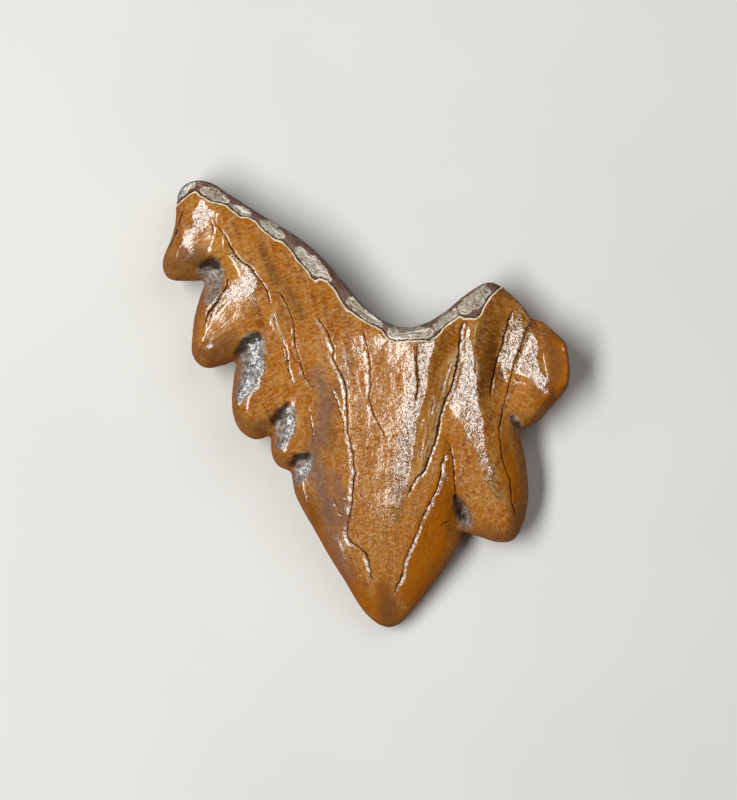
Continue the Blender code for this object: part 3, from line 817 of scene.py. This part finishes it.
    def mark(self, crown: bpy.types.Object) -> None:
        """Stores what the finish needs to know at each point, as named attributes.

        Args:
            crown: The object.
        """
        self.read(crown.data)
        plan = self.wandering()
        outer, inner = self.on_face(Face.OUTER), self.on_face(Face.INNER)
        cracks = self.crack_field(plan)
        border = np.where(outer > inner, -OUTER_BORDER.measure(plan)[0], -INNER_BORDER.measure(plan)[0])
        stain = np.maximum.reduce([line.spread(plan, STAIN_FADE) * strength for line, strength in STAINS])
        calm = self.averaged(self.places, 50)
        hollow = ((calm - self.places) * self.normals).sum(1)
        level = self.averaged(self.normals, 12)
        growth = self.growth((1.0, 1.0))
        ragged = self.frayed()
        worn = np.maximum.reduce([np.clip(f.lean / 0.24, 0, 1) * f.share(plan, ragged) for f in FLANKS])
        lit = np.maximum.reduce([f.share(plan, ragged) for f in FLANKS if f.lean > self.bright])
        worn, lit = self.averaged(np.column_stack([worn, lit]), 6).T
        marks = {
            "crack_offset": cracks["offset"],
            "crack_width": cracks["width"],
            "crack_lip": cracks["lip"],
            "crack_crust": cracks["crust"],
            "enamel": np.clip(border, -4, 4),
            "island": np.where(outer > 0.5, deepest(DENTINE_ISLANDS, plan), -2.0),
            "stain": stain * np.where(outer > 0.5, 1.0, 0.6),
            "hollow": hollow,
            "worn": worn * outer,
            "lit": lit * outer,
            "flatness": np.abs(level[:, 2]),
            "across": growth[:, 0],
            "along": growth[:, 1],
        }
        for name, (lines, fade) in ZONES.items():
            marks[name] = outer * smooth_step(deepest(lines, plan), -fade, fade)
        for name, values in marks.items():
            attribute = crown.data.attributes.new(name, "FLOAT", "POINT")
            attribute.data.foreach_set("value", values.astype(np.float32))

    def build(self) -> bpy.types.Object:
        """Makes the skin and puts it in the frame in place of the solid.

        Returns:
            The finished object, in metres.
        """
        crown = self.fine_copy()
        self.square_edge(crown)
        for _ in range(self.passes):
            self.lean_flanks(crown)
        self.refine(crown)
        self.carve(crown)
        self.mark(crown)
        for polygon in crown.data.polygons:
            polygon.use_smooth = True
        scaled = bmesh.new()
        scaled.from_mesh(crown.data)
        bmesh.ops.scale(scaled, vec=(MM,) * 3, verts=scaled.verts)
        scaled.to_mesh(crown.data)
        scaled.free()
        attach(crown, "root")
        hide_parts(self.node)
        return crown


class Graph:
    """A material's node tree, with short ways to add to it."""

    def __init__(self, name: str) -> None:
        """Starts a material that holds only its shader and output.

        Args:
            name: The material's name.
        """
        self.material = bpy.data.materials.new(name)
        self.material.use_nodes = True
        self.tree = self.material.node_tree
        self.shader = self.tree.nodes["Principled BSDF"]
        self.coordinates = self.tree.nodes.new("ShaderNodeTexCoord")

    def add(self, kind: str, inputs: dict[str | int, object], **settings: object) -> bpy.types.Node:
        """Adds a node.

        Args:
            kind: The node's type, without its ShaderNode prefix.
            inputs: Its inputs by name or number: sockets to link, or plain values.
            **settings: Its properties.

        Returns:
            The node.
        """
        node = self.tree.nodes.new("ShaderNode" + kind)
        for name, value in settings.items():
            setattr(node, name, value)
        for name, value in inputs.items():
            self.feed(node.inputs[name], value)
        return node

    def feed(self, socket: bpy.types.NodeSocket, value: object) -> None:
        """Links a socket to another one, or sets its value.

        Args:
            socket: The input.
            value: An output socket or a plain value.
        """
        if isinstance(value, bpy.types.NodeSocket):
            self.tree.links.new(value, socket)
        elif socket.type == "RGBA" and len(value) == 3:
            socket.default_value = (*value, 1.0)
        else:
            socket.default_value = value

    def attribute(self, name: str) -> bpy.types.NodeSocket:
        """One of the skin's own attributes."""
        return self.add("Attribute", {}, attribute_name=name).outputs["Fac"]

    def math(self, operation: str, *values: object) -> bpy.types.NodeSocket:
        """A sum on one to three values."""
        return self.add("Math", dict(enumerate(values)), operation=operation).outputs[0]

    def times(self, *values: object) -> bpy.types.NodeSocket:
        """Multiplies two or three values.

        Args:
            *values: Sockets or plain values.

        Returns:
            Their product.
        """
        product = values[0]
        for value in values[1:]:
            product = self.math("MULTIPLY", product, value)
        return product

    def step(self, value: object, low: object, high: object, to_low: float = 0.0,
             to_high: float = 1.0) -> bpy.types.NodeSocket:
        """Eases a value.

        Args:
            value: The value.
            low: Where the result is to_low.
            high: Where the result is to_high.
            to_low: The result at low.
            to_high: The result at high.

        Returns:
            The eased value.
        """
        inputs = {"Value": value, "From Min": low, "From Max": high, "To Min": to_low, "To Max": to_high}
        return self.add("MapRange", inputs, interpolation_type="SMOOTHSTEP").outputs[0]

    def noise(self, size: float, detail: float = 2.0, roughness: float = 0.5, distortion: float = 0.0,
              stretch: tuple[float, float, float] = (1.0, 1.0, 1.0),
              vector: object = None) -> bpy.types.NodeSocket:
        """Noise between 0 and 1.

        Args:
            size: The width of its swells, in millimetres.
            detail: How many finer layers it has.
            roughness: How strong they are.
            distortion: How far it is stirred.
            stretch: Larger numbers squeeze it along an axis.
            vector: Coordinates to read it at, if not the object's own.

        Returns:
            The noise.
        """
        source = vector or self.coordinates.outputs["Object"]
        placed = self.add("Mapping", {"Vector": source, "Scale": stretch}).outputs[0]
        scale = 1 / size if vector else 1 / (size * MM)
        inputs = {"Vector": placed, "Scale": scale, "Detail": detail, "Roughness": roughness,
                  "Distortion": distortion}
        return self.add("TexNoise", inputs).outputs["Fac"]

    def over(self, share: object, under: object, top: object,
             mode: Blend = Blend.OVER) -> bpy.types.NodeSocket:
        """Lays one colour over another.

        Args:
            share: How much of it.
            under: The colour below.
            top: The colour on top.
            mode: How they blend.

        Returns:
            The mixed colour.
        """
        node = self.add("Mix", {0: share, 6: under, 7: top}, data_type="RGBA", blend_type=mode.value)
        return node.outputs[2]

    def bump(self, height: object, depth: float, below: object = None) -> bpy.types.NodeSocket:
        """Roughens the surface.

        Args:
            height: The height, from 0 to 1.
            depth: How deep a height of 1 is, in millimetres.
            below: The normal that this goes on top of.

        Returns:
            The new normal.
        """
        inputs = {"Height": height, "Distance": depth * MM, "Strength": 1.0}
        if below is not None:
            inputs["Normal"] = below
        return self.add("Bump", inputs).outputs[0]


@dataclass(frozen=True)
class FossilFinish:
    """Glossy caramel enamel with its cracks, stains and the dentine of the broken base.

    Args:
        caramel: The enamel's main brown.
        amber: Its deeper brown.
        tan: Its paler flecks.
        fawn: The fine feathering on its worn crests, paler wear with a painted sheen, and its loose flakes.
        rust: Its streaks, and the painted shade in its deep hollows.
        grey: The mineral stain in the hollows.
        slate: The paler flecks in that stain.
        seam: The beads of the mineral seam along a crack, painted bright as their glints; also the painted
            glints on the dentine's islands.
        lilac: The crust that they sit in.
        plum: The dentine's outer skin.
        ash: The worn islands on the dentine.
        umber: The dusky enamel at the tip, the painted shade on the lower sides of the lobes, and the veins
            in the worn islands.
        mauve: The band beside the long crack.
        russet_rim_shade: The enamel's reddish rim, darkened as painted shade where it turns steep.
        cream: The broken edge of the enamel.
        soot: The bottom of a crack, and the painted shadow right below a cusp's edge.
        lit_shade: What the enamel is darkened by where it shines, a painted darkening under its highlights.
        mark_shade: What its pits and creases are darkened by, as painted shade where the crests shine.
        line_shade: The painted shade in the lows of its ripples.
        gloss: The roughness under the coat.
        shine: How strongly the surface under the coat reflects.
        lacquer: How thick the glossy coat is.
        lacquer_blur: The coat's roughness.
        swell_depth: How deep the coat's soft relief is, in millimetres, as are the depths below.
        pit_depth: How deep the pits and creases are.
        grain_depth: How deep the fine grain is.
        ripple_depth: How deep the ripples across the growth are.
        wrinkle_depth: How deep the broader unevenness is.
        flake_depth: How deep the loose flakes are.
        chalk_depth: How deep the dentine's rough lumps are.
    """

    caramel: Colour = (0.352, 0.137, 0.017)
    amber: Colour = (0.3, 0.086, 0.0)
    tan: Colour = (0.48, 0.235, 0.045)
    fawn: Colour = (0.5, 0.34, 0.19)
    rust: Colour = (0.16, 0.042, 0.008)
    grey: Colour = (0.13, 0.1, 0.085)
    slate: Colour = (0.33, 0.3, 0.28)
    seam: Colour = (0.82, 0.75, 0.69)
    lilac: Colour = (0.3, 0.22, 0.19)
    plum: Colour = (0.17, 0.095, 0.08)
    ash: Colour = (0.4, 0.36, 0.29)
    umber: Colour = (0.13, 0.055, 0.02)
    mauve: Colour = (0.165, 0.088, 0.06)
    russet_rim_shade: Colour = (0.23, 0.068, 0.01)
    cream: Colour = (0.8, 0.68, 0.5)
    soot: Colour = (0.016, 0.007, 0.003)
    lit_shade: Colour = (0.66, 0.72, 0.84)
    mark_shade: Colour = (0.45, 0.42, 0.42)
    line_shade: Colour = (0.4, 0.28, 0.22)
    gloss: float = 0.3
    shine: float = 0.03
    lacquer: float = 1.0
    lacquer_blur: float = 0.16
    swell_depth: float = 0.06
    pit_depth: float = 0.05
    grain_depth: float = 0.12
    ripple_depth: float = 0.22
    wrinkle_depth: float = 0.17
    flake_depth: float = 0.4
    chalk_depth: float = 0.3

    def enamel_colour(self, g: Graph) -> bpy.types.NodeSocket:
        """The enamel's colour before cracks, with painted shade in its hollows, on its rim, on its lobes'
        lower sides and under the cusps' edges.

        Args:
            g: The material's tree.

        Returns:
            The colour.
        """
        growth, smooth = self.growth(g), g.math("SUBTRACT", 1.0, g.attribute("amber"))
        colour = g.over(g.step(g.noise(6.0, 3.0, 0.6, 0.4), 0.35, 0.62), self.amber, self.caramel)
        bands = g.step(g.noise(2.0, 3.0, 0.6, 0.3, (1.0, 0.12, 1.0), growth), 0.5, 0.62)
        colour = g.over(g.times(bands, 0.55), colour, self.amber)
        colour = g.over(g.times(g.attribute("amber"), 0.85), colour, self.amber)
        dapple = g.step(g.noise(1.6, 4.0, 0.65, 0.6), 0.54, 0.66)
        colour = g.over(g.times(dapple, 0.4), colour, self.rust)
        broad = g.step(g.noise(1.3, 3.0, 0.6, 0.3, (1.0, 0.09, 1.0), growth), 0.55, 0.66)
        colour = g.over(g.times(broad, smooth, 0.66), colour, self.rust)
        streaks = g.step(g.noise(0.42, 3.0, 0.65, 0.2, (1.0, 0.08, 1.0), growth), 0.54, 0.64)
        colour = g.over(g.times(streaks, 0.58), colour, self.rust)
        flecks = g.times(g.step(g.noise(0.7, 4.0, 0.7, 0.8), 0.5, 0.62), smooth)
        colour = g.over(g.times(flecks, 0.5), colour, self.tan)
        # Painted shade: darker in the concave hollows
        colour = g.over(g.step(g.attribute("hollow"), 0.12, 0.4), colour, self.rust)
        # Pale feathering on the ripples' highs where the crests are worn, partly a painted sheen
        feather_and_sheen = g.times(g.step(self.ripples(g), 0.5, 0.6), smooth)
        share = g.math("MULTIPLY_ADD", g.attribute("worn"), 0.36, 0.24)
        colour = g.over(g.times(feather_and_sheen, share), colour, self.fawn)
        colour = g.over(g.times(g.attribute("flaky"), 0.4), colour, self.tan)
        # Loose pale flakes, with painted glints on them
        flakes = g.times(g.step(self.flakes(g), 0.49, 0.57), g.attribute("flaky"))
        colour = g.over(g.times(flakes, 0.8), colour, self.fawn)
        # Painted shade on the lower sides of the lobes, and the dusky tip
        colour = g.over(g.times(g.attribute("dusk_and_shade"), 0.7), colour, self.umber)
        patches = g.step(g.noise(1.0, 4.0, 0.7, 0.6), 0.3, 0.6, 0.45, 0.95)
        colour = g.over(g.times(g.attribute("mauve"), patches), colour, self.mauve)
        mottled = g.over(g.step(g.noise(0.7, 3.0, 0.7), 0.4, 0.62), self.grey, self.slate)
        colour = g.over(self.stain_share(g), colour, mottled)
        # Stain darkened to near black right below the next cusp's edge, as painted shadow
        stain_shadow_core = g.step(g.math("ADD", g.attribute("stain_shadow_core"), self.ragged(g)), 0.15, 0.8)
        colour = g.over(g.times(stain_shadow_core, 0.9), colour, self.soot)
        # Painted shade: the steep rim is darkened to a reddish brown
        colour = g.over(g.times(self.rim(g), 0.6), colour, self.russet_rim_shade)
        return colour

    def ragged(self, g: Graph) -> bpy.types.NodeSocket:
        """What is added to a stain's strength to fray its edges."""
        return g.math("MULTIPLY_ADD", g.noise(1.1, 4.0, 0.7), 0.8, -0.4)

    def stain_share(self, g: Graph) -> bpy.types.NodeSocket:
        """Where the grey mineral stain is, with ragged edges."""
        return g.step(g.math("ADD", g.attribute("stain"), self.ragged(g)), 0.2, 0.8)

    def flakes(self, g: Graph) -> bpy.types.NodeSocket:
        """Loose flakes that run along the growth."""
        return g.noise(0.6, 3.0, 0.6, 0.5, (1.0, 0.22, 1.0), self.growth(g))

    def rim(self, g: Graph) -> bpy.types.NodeSocket:
        """Where the crown turns over to its keel."""
        return g.step(g.attribute("flatness"), 0.78, 0.25)

    def growth(self, g: Graph) -> bpy.types.NodeSocket:
        """Coordinates along and across the tooth's growth."""
        return g.add("CombineXYZ", {0: g.attribute("across"), 1: g.attribute("along"), 2: 7.3}).outputs[0]

    def dentine_colour(self, g: Graph) -> bpy.types.NodeSocket:
        """The dentine's colour, with painted glints on its worn islands.

        Args:
            g: The material's tree.

        Returns:
            The colour.
        """
        across, along = (g.times(g.attribute(name), 0.16) for name in ("across", "along"))
        beside = g.add("CombineXYZ", {0: g.attribute("enamel"), 1: across, 2: along}).outputs[0]
        colour = g.over(g.step(g.noise(1.4, 3.0, 0.6, 0.5), 0.42, 0.7), self.plum, self.umber)
        fibres = g.step(g.noise(0.3, 3.0, 0.65, 0.4, vector=beside), 0.53, 0.66)
        colour = g.over(g.times(fibres, 0.5), colour, self.ash)
        veins = g.step(g.noise(0.55, 3.0, 0.7, 1.0), 0.5, 0.42)
        ash = g.over(g.times(veins, 0.8), self.ash, self.umber)
        # Painted glints on the worn islands, and along their shores
        painted_glints = g.step(g.noise(0.5, 3.0, 0.65, 1.0, vector=beside), 0.55, 0.6)
        ash = g.over(g.times(painted_glints, 0.85), ash, self.seam)
        colour = g.over(self.island_share(g), colour, ash)
        shore_glints = g.step(g.math("ABSOLUTE", g.math("SUBTRACT", self.island_depth(g), 0.55)), 0.16, 0.05)
        broken = g.step(g.noise(0.9, 3.0, 0.6), 0.46, 0.56)
        colour = g.over(g.times(shore_glints, broken, 0.75), colour, self.seam)
        beyond = g.step(g.math("ABSOLUTE", g.math("ADD", g.attribute("enamel"), 0.17)), 0.14, 0.05)
        return g.over(g.times(beyond, 0.8), colour, self.soot)

    def island_depth(self, g: Graph) -> bpy.types.NodeSocket:
        """How far inside the dentine's worn islands a point is, with ragged edges."""
        return g.math("MULTIPLY_ADD", g.noise(0.8, 4.0, 0.7), 1.0, g.attribute("island"))

    def island_share(self, g: Graph) -> bpy.types.NodeSocket:
        """Where the dentine's worn islands are."""
        return g.step(self.island_depth(g), 0.38, 0.7)

    def marks(self, g: Graph) -> bpy.types.NodeSocket:
        """Where pits and fine wriggling creases break up the worn crests.

        Args:
            g: The material's tree.

        Returns:
            1 in them, 0 elsewhere.
        """
        patchy = g.math("MULTIPLY_ADD", g.noise(2.2, 2.0, 0.5), 0.3, -0.15)
        pits = g.noise(0.36, 2.0, 0.6, 0.8, (1.0, 0.6, 1.0), self.growth(g))
        pits = g.step(g.math("ADD", pits, patchy), 0.42, 0.35)
        line = g.math("ABSOLUTE", g.math("SUBTRACT", g.noise(1.0, 2.0, 0.6, 1.2), 0.5))
        creases = g.step(line, 0.03, 0.01)
        return g.times(g.math("MAXIMUM", pits, creases), g.step(g.attribute("lit"), 0.1, 0.7))

    def ripples(self, g: Graph) -> bpy.types.NodeSocket:
        """Fine ripples across the growth."""
        return g.noise(0.4, 3.0, 0.6, 0.8, (0.45, 1.0, 0.6), self.growth(g))

    def strength(self, g: Graph) -> bpy.types.NodeSocket:
        """How strong the fine relief is: it is strongest on the worn crests."""
        return g.math("MULTIPLY_ADD", g.attribute("worn"), 0.6, 0.4)

    def loose_flakes(self, g: Graph) -> bpy.types.NodeSocket:
        """The height of the flakes, where the enamel is flaky."""
        return g.times(self.flakes(g), g.attribute("flaky"))

    def chalk(self, g: Graph) -> bpy.types.NodeSocket:
        """The height of the dentine's rough lumps."""
        return g.times(g.noise(0.7, 3.0, 0.7, 1.0), g.step(g.attribute("enamel"), 0.0, -0.1))

    def wrinkles(self, g: Graph) -> bpy.types.NodeSocket:
        """The skin's fine relief: pits, ripples across the growth, soft unevenness and rough dentine.

        Args:
            g: The material's tree.

        Returns:
            The normal.
        """
        normal = g.bump(self.marks(g), -self.pit_depth)
        strength = self.strength(g)
        normal = g.bump(g.times(g.noise(0.5, 2.0, 0.6, 0.8), strength), self.grain_depth, normal)
        normal = g.bump(g.times(self.ripples(g), strength), self.ripple_depth, normal)
        normal = g.bump(g.times(g.noise(0.9, 2.0, 0.6, 1.0), strength), self.wrinkle_depth, normal)
        normal = g.bump(self.loose_flakes(g), self.flake_depth, normal)
        return g.bump(self.chalk(g), self.chalk_depth, normal)

    def swells(self, g: Graph) -> bpy.types.NodeSocket:
        """The lacquer's softer relief: winding swells, flakes and the dentine's chalky lumps.

        Args:
            g: The material's tree.

        Returns:
            The normal.
        """
        strength = self.strength(g)
        winding = g.noise(0.6, 1.0, 0.5, 1.4, (0.8, 1.0, 0.8), self.growth(g))
        normal = g.bump(g.times(winding, strength), self.swell_depth)
        normal = g.bump(g.times(g.noise(1.4, 1.0, 0.5, 0.8), strength), self.swell_depth, normal)
        normal = g.bump(self.loose_flakes(g), self.swell_depth, normal)
        return g.bump(self.chalk(g), self.swell_depth, normal)

    def bare_colour(self, g: Graph, on_enamel: bpy.types.NodeSocket) -> bpy.types.NodeSocket:
        """The enamel and the dentine, with the cream line along the enamel's broken edge.

        Args:
            g: The material's tree.
            on_enamel: 1 on the enamel, 0 on the dentine.

        Returns:
            The colour.
        """
        colour = g.over(on_enamel, self.dentine_colour(g), self.enamel_colour(g))
        edge = g.step(g.math("ABSOLUTE", g.math("SUBTRACT", g.attribute("enamel"), 0.05)), 0.15, 0.06)
        gaps = g.step(g.noise(0.8, 3.0, 0.6), 0.32, 0.5, 0.55)
        return g.over(g.times(edge, gaps), colour, self.cream)

    def shaded(self, g: Graph, colour: bpy.types.NodeSocket,
               marks: bpy.types.NodeSocket) -> bpy.types.NodeSocket:
        """Darkens a colour as painted shade: where it shines, in its pits and creases and in the lows of its
        ripples.

        Args:
            g: The material's tree.
            colour: The colour.
            marks: Where the pits and creases are.

        Returns:
            The darker colour.
        """
        # Painted darkening under the highlights, which turns them silvery
        colour = g.over(g.times(g.attribute("lit"), 0.85), colour, self.lit_shade, Blend.DARKEN)
        # Painted shade in the pits and creases of the shining crests
        colour = g.over(g.times(marks, 0.6), colour, self.mark_shade, Blend.DARKEN)
        # Painted shade in the lows of the ripples, stronger on the worn crests
        shaded_lows = g.step(self.ripples(g), 0.45, 0.36)
        lines = g.times(shaded_lows, g.math("MULTIPLY_ADD", g.attribute("worn"), 0.32, 0.3))
        return g.over(lines, colour, self.line_shade, Blend.DARKEN)

    def seamed(self, g: Graph, colour: bpy.types.NodeSocket) -> bpy.types.NodeSocket:
        """Lays the beaded mineral seam of the cracks over a colour, its beads painted bright as glints.

        Args:
            g: The material's tree.
            colour: The colour.

        Returns:
            The colour with the seam.
        """
        width, crust = g.attribute("crack_width"), g.attribute("crack_crust")
        middle = g.math("MULTIPLY_ADD", crust, 0.65, width)
        lip = g.math("SUBTRACT", g.attribute("crack_offset"), middle)
        frayed = g.times(crust, g.math("MULTIPLY_ADD", g.noise(0.8, 3.0, 0.7), 1.6, 0.2))
        chipped = g.step(g.math("ABSOLUTE", lip), frayed, g.times(frayed, 0.35))
        pale = g.times(chipped, g.step(g.attribute("crack_lip"), 0.03, 0.1))
        beads = g.step(g.noise(0.5, 3.0, 0.7), 0.45, 0.56)
        share = g.times(pale, g.math("MULTIPLY_ADD", beads, 0.45, 0.4))
        return g.over(share, colour, g.over(beads, self.lilac, self.seam))

    def groove(self, g: Graph) -> bpy.types.NodeSocket:
        """Where the cracks' grooves are.

        Args:
            g: The material's tree.

        Returns:
            1 in them, 0 elsewhere.
        """
        width = g.attribute("crack_width")
        inside = g.math("SUBTRACT", g.math("ABSOLUTE", g.attribute("crack_offset")), width)
        return g.times(g.step(inside, 0.02, -0.04), g.step(width, 0.01, 0.05))

    def roughness(self, g: Graph, on_enamel: bpy.types.NodeSocket,
                  rough_spots: bpy.types.NodeSocket) -> bpy.types.NodeSocket:
        """The roughness under the coat.

        Args:
            g: The material's tree.
            on_enamel: 1 on the enamel, 0 on the dentine.
            rough_spots: Where the grooves, pits and creases are.

        Returns:
            The roughness.
        """
        island = g.times(self.island_share(g), g.math("SUBTRACT", 1.0, on_enamel))
        rough = g.math("MULTIPLY_ADD", g.noise(1.4, 3.0, 0.6), 0.16, self.gloss - 0.08)
        rough = g.math("MULTIPLY_ADD", island, -0.08, rough)
        rough = g.math("MULTIPLY_ADD", rough_spots, 0.4, rough)
        return g.math("MULTIPLY_ADD", self.rim(g), 0.3, rough)

    def coat(self, g: Graph, marks: bpy.types.NodeSocket) -> bpy.types.NodeSocket:
        """The glossy coat's thickness, which thins in stains, in pits, on steep sides and inside cracks.

        Args:
            g: The material's tree.
            marks: Where the pits and creases are.

        Returns:
            The coat's weight.
        """
        offset, width = g.attribute("crack_offset"), g.attribute("crack_width")
        patchy = g.step(g.noise(0.6, 3.0, 0.65, 0.5), 0.54, 0.46, 0.1, 0.85)
        dull = g.times(self.stain_share(g), patchy)
        shoulder = g.step(g.attribute("flatness"), 0.92, 0.72)
        far_wall = g.step(g.math("MULTIPLY_ADD", width, 2.8, offset), -0.08, 0.04)
        wall = g.times(far_wall, g.step(offset, width, 0.0), g.step(width, 0.01, 0.05))
        worn_off = g.math("MAXIMUM", g.math("MAXIMUM", wall, g.times(marks, 0.6)),
                          g.math("MAXIMUM", dull, shoulder))
        return g.math("MULTIPLY_ADD", worn_off, -self.lacquer, self.lacquer)

    def build(self) -> bpy.types.Material:
        """Makes the material.

        Returns:
            The material.
        """
        g = Graph("fossil")
        on_enamel = g.step(g.attribute("enamel"), -0.04, 0.04)
        marks, groove = self.marks(g), self.groove(g)
        colour = self.seamed(g, self.shaded(g, self.bare_colour(g, on_enamel), marks))
        g.feed(g.shader.inputs["Base Color"], g.over(groove, colour, self.soot))
        rough_spots = g.math("MAXIMUM", groove, marks)
        g.feed(g.shader.inputs["Roughness"], self.roughness(g, on_enamel, rough_spots))
        g.feed(g.shader.inputs["Normal"], self.wrinkles(g))
        g.feed(g.shader.inputs["Coat Normal"], self.swells(g))
        g.feed(g.shader.inputs["Coat Weight"], self.coat(g, marks))
        g.shader.inputs["Specular IOR Level"].default_value = self.shine
        g.shader.inputs["Coat Roughness"].default_value = self.lacquer_blur
        return g.material


@dataclass(frozen=True)
class Lamp:
    """One soft lamp that points at the tooth.

    Args:
        name: Its name.
        toward: The direction it is in, as seen from the tooth.
        distance: How far away it is, in metres.
        width: Its width along the jaw, in metres.
        length: Its length from tip to base, in metres.
        power: Its power, in watts.
        glossy: Whether it shows in reflections.
        colour: Its colour.
    """

    name: str
    toward: tuple[float, float, float]
    distance: float
    width: float
    length: float
    power: float
    glossy: bool = True
    colour: Colour = (0.985, 0.99, 0.955)


@dataclass
class Studio:
    """The pale floor, the soft lamps and the camera that looks straight down.

    Args:
        floor_size: The floor's width, in metres.
        sight: The camera's height above the tooth's keel, in metres.
        keel: The height of the keel that the framing is measured at, in metres.
        view_height: What the picture's full height shows at the keel, in metres.
        aim: The point below the camera, in metres.
        floor_dark: The floor's darker tone.
        floor_pale: Its paler tone.
        floor_rough: Its roughness.
        room_colour: The colour of the dim light that comes from all round.
        room_light: How strong that light is.
        lamps: The soft lamps.
    """

    floor_size: float = 3.0
    sight: float = 0.42
    keel: float = 0.006
    view_height: float = 0.1176
    aim: tuple[float, float] = (0.00033, 0.00073)
    floor_dark: Colour = (0.57, 0.565, 0.55)
    floor_pale: Colour = (0.6, 0.595, 0.58)
    floor_rough: float = 0.8
    room_colour: Colour = (1.0, 0.98, 0.95)
    room_light: float = 0.07
    lamps: tuple[Lamp, ...] = (
        Lamp("key", (-0.435, 0.0, 0.89), 0.6, 0.15, 0.56, 4.6),
        Lamp("fill", (0.35, 0.45, 0.8), 0.8, 0.6, 0.6, 1.7, glossy=False),
    )

    def floor(self) -> None:
        """Lays the pale floor, which isn't part of the object."""
        plate = bmesh.new()
        bmesh.ops.create_grid(plate, x_segments=1, y_segments=1, size=self.floor_size / 2)
        data = bpy.data.meshes.new("floor")
        plate.to_mesh(data)
        plate.free()
        g = Graph("pale_floor")
        colour = g.over(g.step(g.noise(60.0, 3.0), 0.3, 0.7), self.floor_dark, self.floor_pale)
        g.feed(g.shader.inputs["Base Color"], colour)
        g.shader.inputs["Roughness"].default_value = self.floor_rough
        data.materials.append(g.material)
        floor = bpy.data.objects.new("floor", data)
        bpy.context.scene.collection.objects.link(floor)

    def light(self) -> None:
        """Hangs the lamps and sets the dim light that comes from all round."""
        for lamp in self.lamps:
            data = bpy.data.lights.new(lamp.name, "AREA")
            data.shape, data.size, data.size_y = "ELLIPSE", lamp.width, lamp.length
            data.energy, data.color = lamp.power, lamp.colour
            hung = bpy.data.objects.new(lamp.name, data)
            toward = Vector(lamp.toward).normalized()
            hung.location = toward * lamp.distance
            across = Vector((0, 1, 0)).cross(toward).normalized()
            hung.rotation_euler = Matrix((across, toward.cross(across), toward)).transposed().to_euler()
            hung.visible_glossy = lamp.glossy
            bpy.context.scene.collection.objects.link(hung)
        world = bpy.data.worlds.new("room")
        world.use_nodes = True
        background = world.node_tree.nodes["Background"]
        background.inputs["Color"].default_value = (*self.room_colour, 1.0)
        background.inputs["Strength"].default_value = self.room_light
        bpy.context.scene.world = world
        bpy.context.scene.view_settings.view_transform = "Standard"

    def camera(self) -> None:
        """Sets the camera, which looks straight down with the tooth's base at the top of the picture."""
        data = bpy.data.cameras.new("camera")
        data.sensor_fit = "VERTICAL"
        data.sensor_height = 36.0
        data.lens = data.sensor_height * self.sight / self.view_height
        data.clip_start, data.clip_end = 0.01, 10.0
        camera = bpy.data.objects.new("camera", data)
        camera.location = (*self.aim, self.keel + self.sight)
        bpy.context.scene.collection.objects.link(camera)
        bpy.context.scene.camera = camera

    def build(self) -> None:
        """Sets up the whole studio."""
        self.floor()
        self.light()
        self.camera()


def main() -> None:
    """Builds the tooth and the studio."""
    logging.basicConfig(level=logging.INFO, format="%(name)s: %(message)s")
    Studio().build()
    crown = CrownSkin().build()
    crown.data.materials.append(FossilFinish().build())
    LOG.info("%s has %d points and %d faces", crown.name, len(crown.data.vertices), len(crown.data.polygons))


if __name__ == "__main__":
    main()
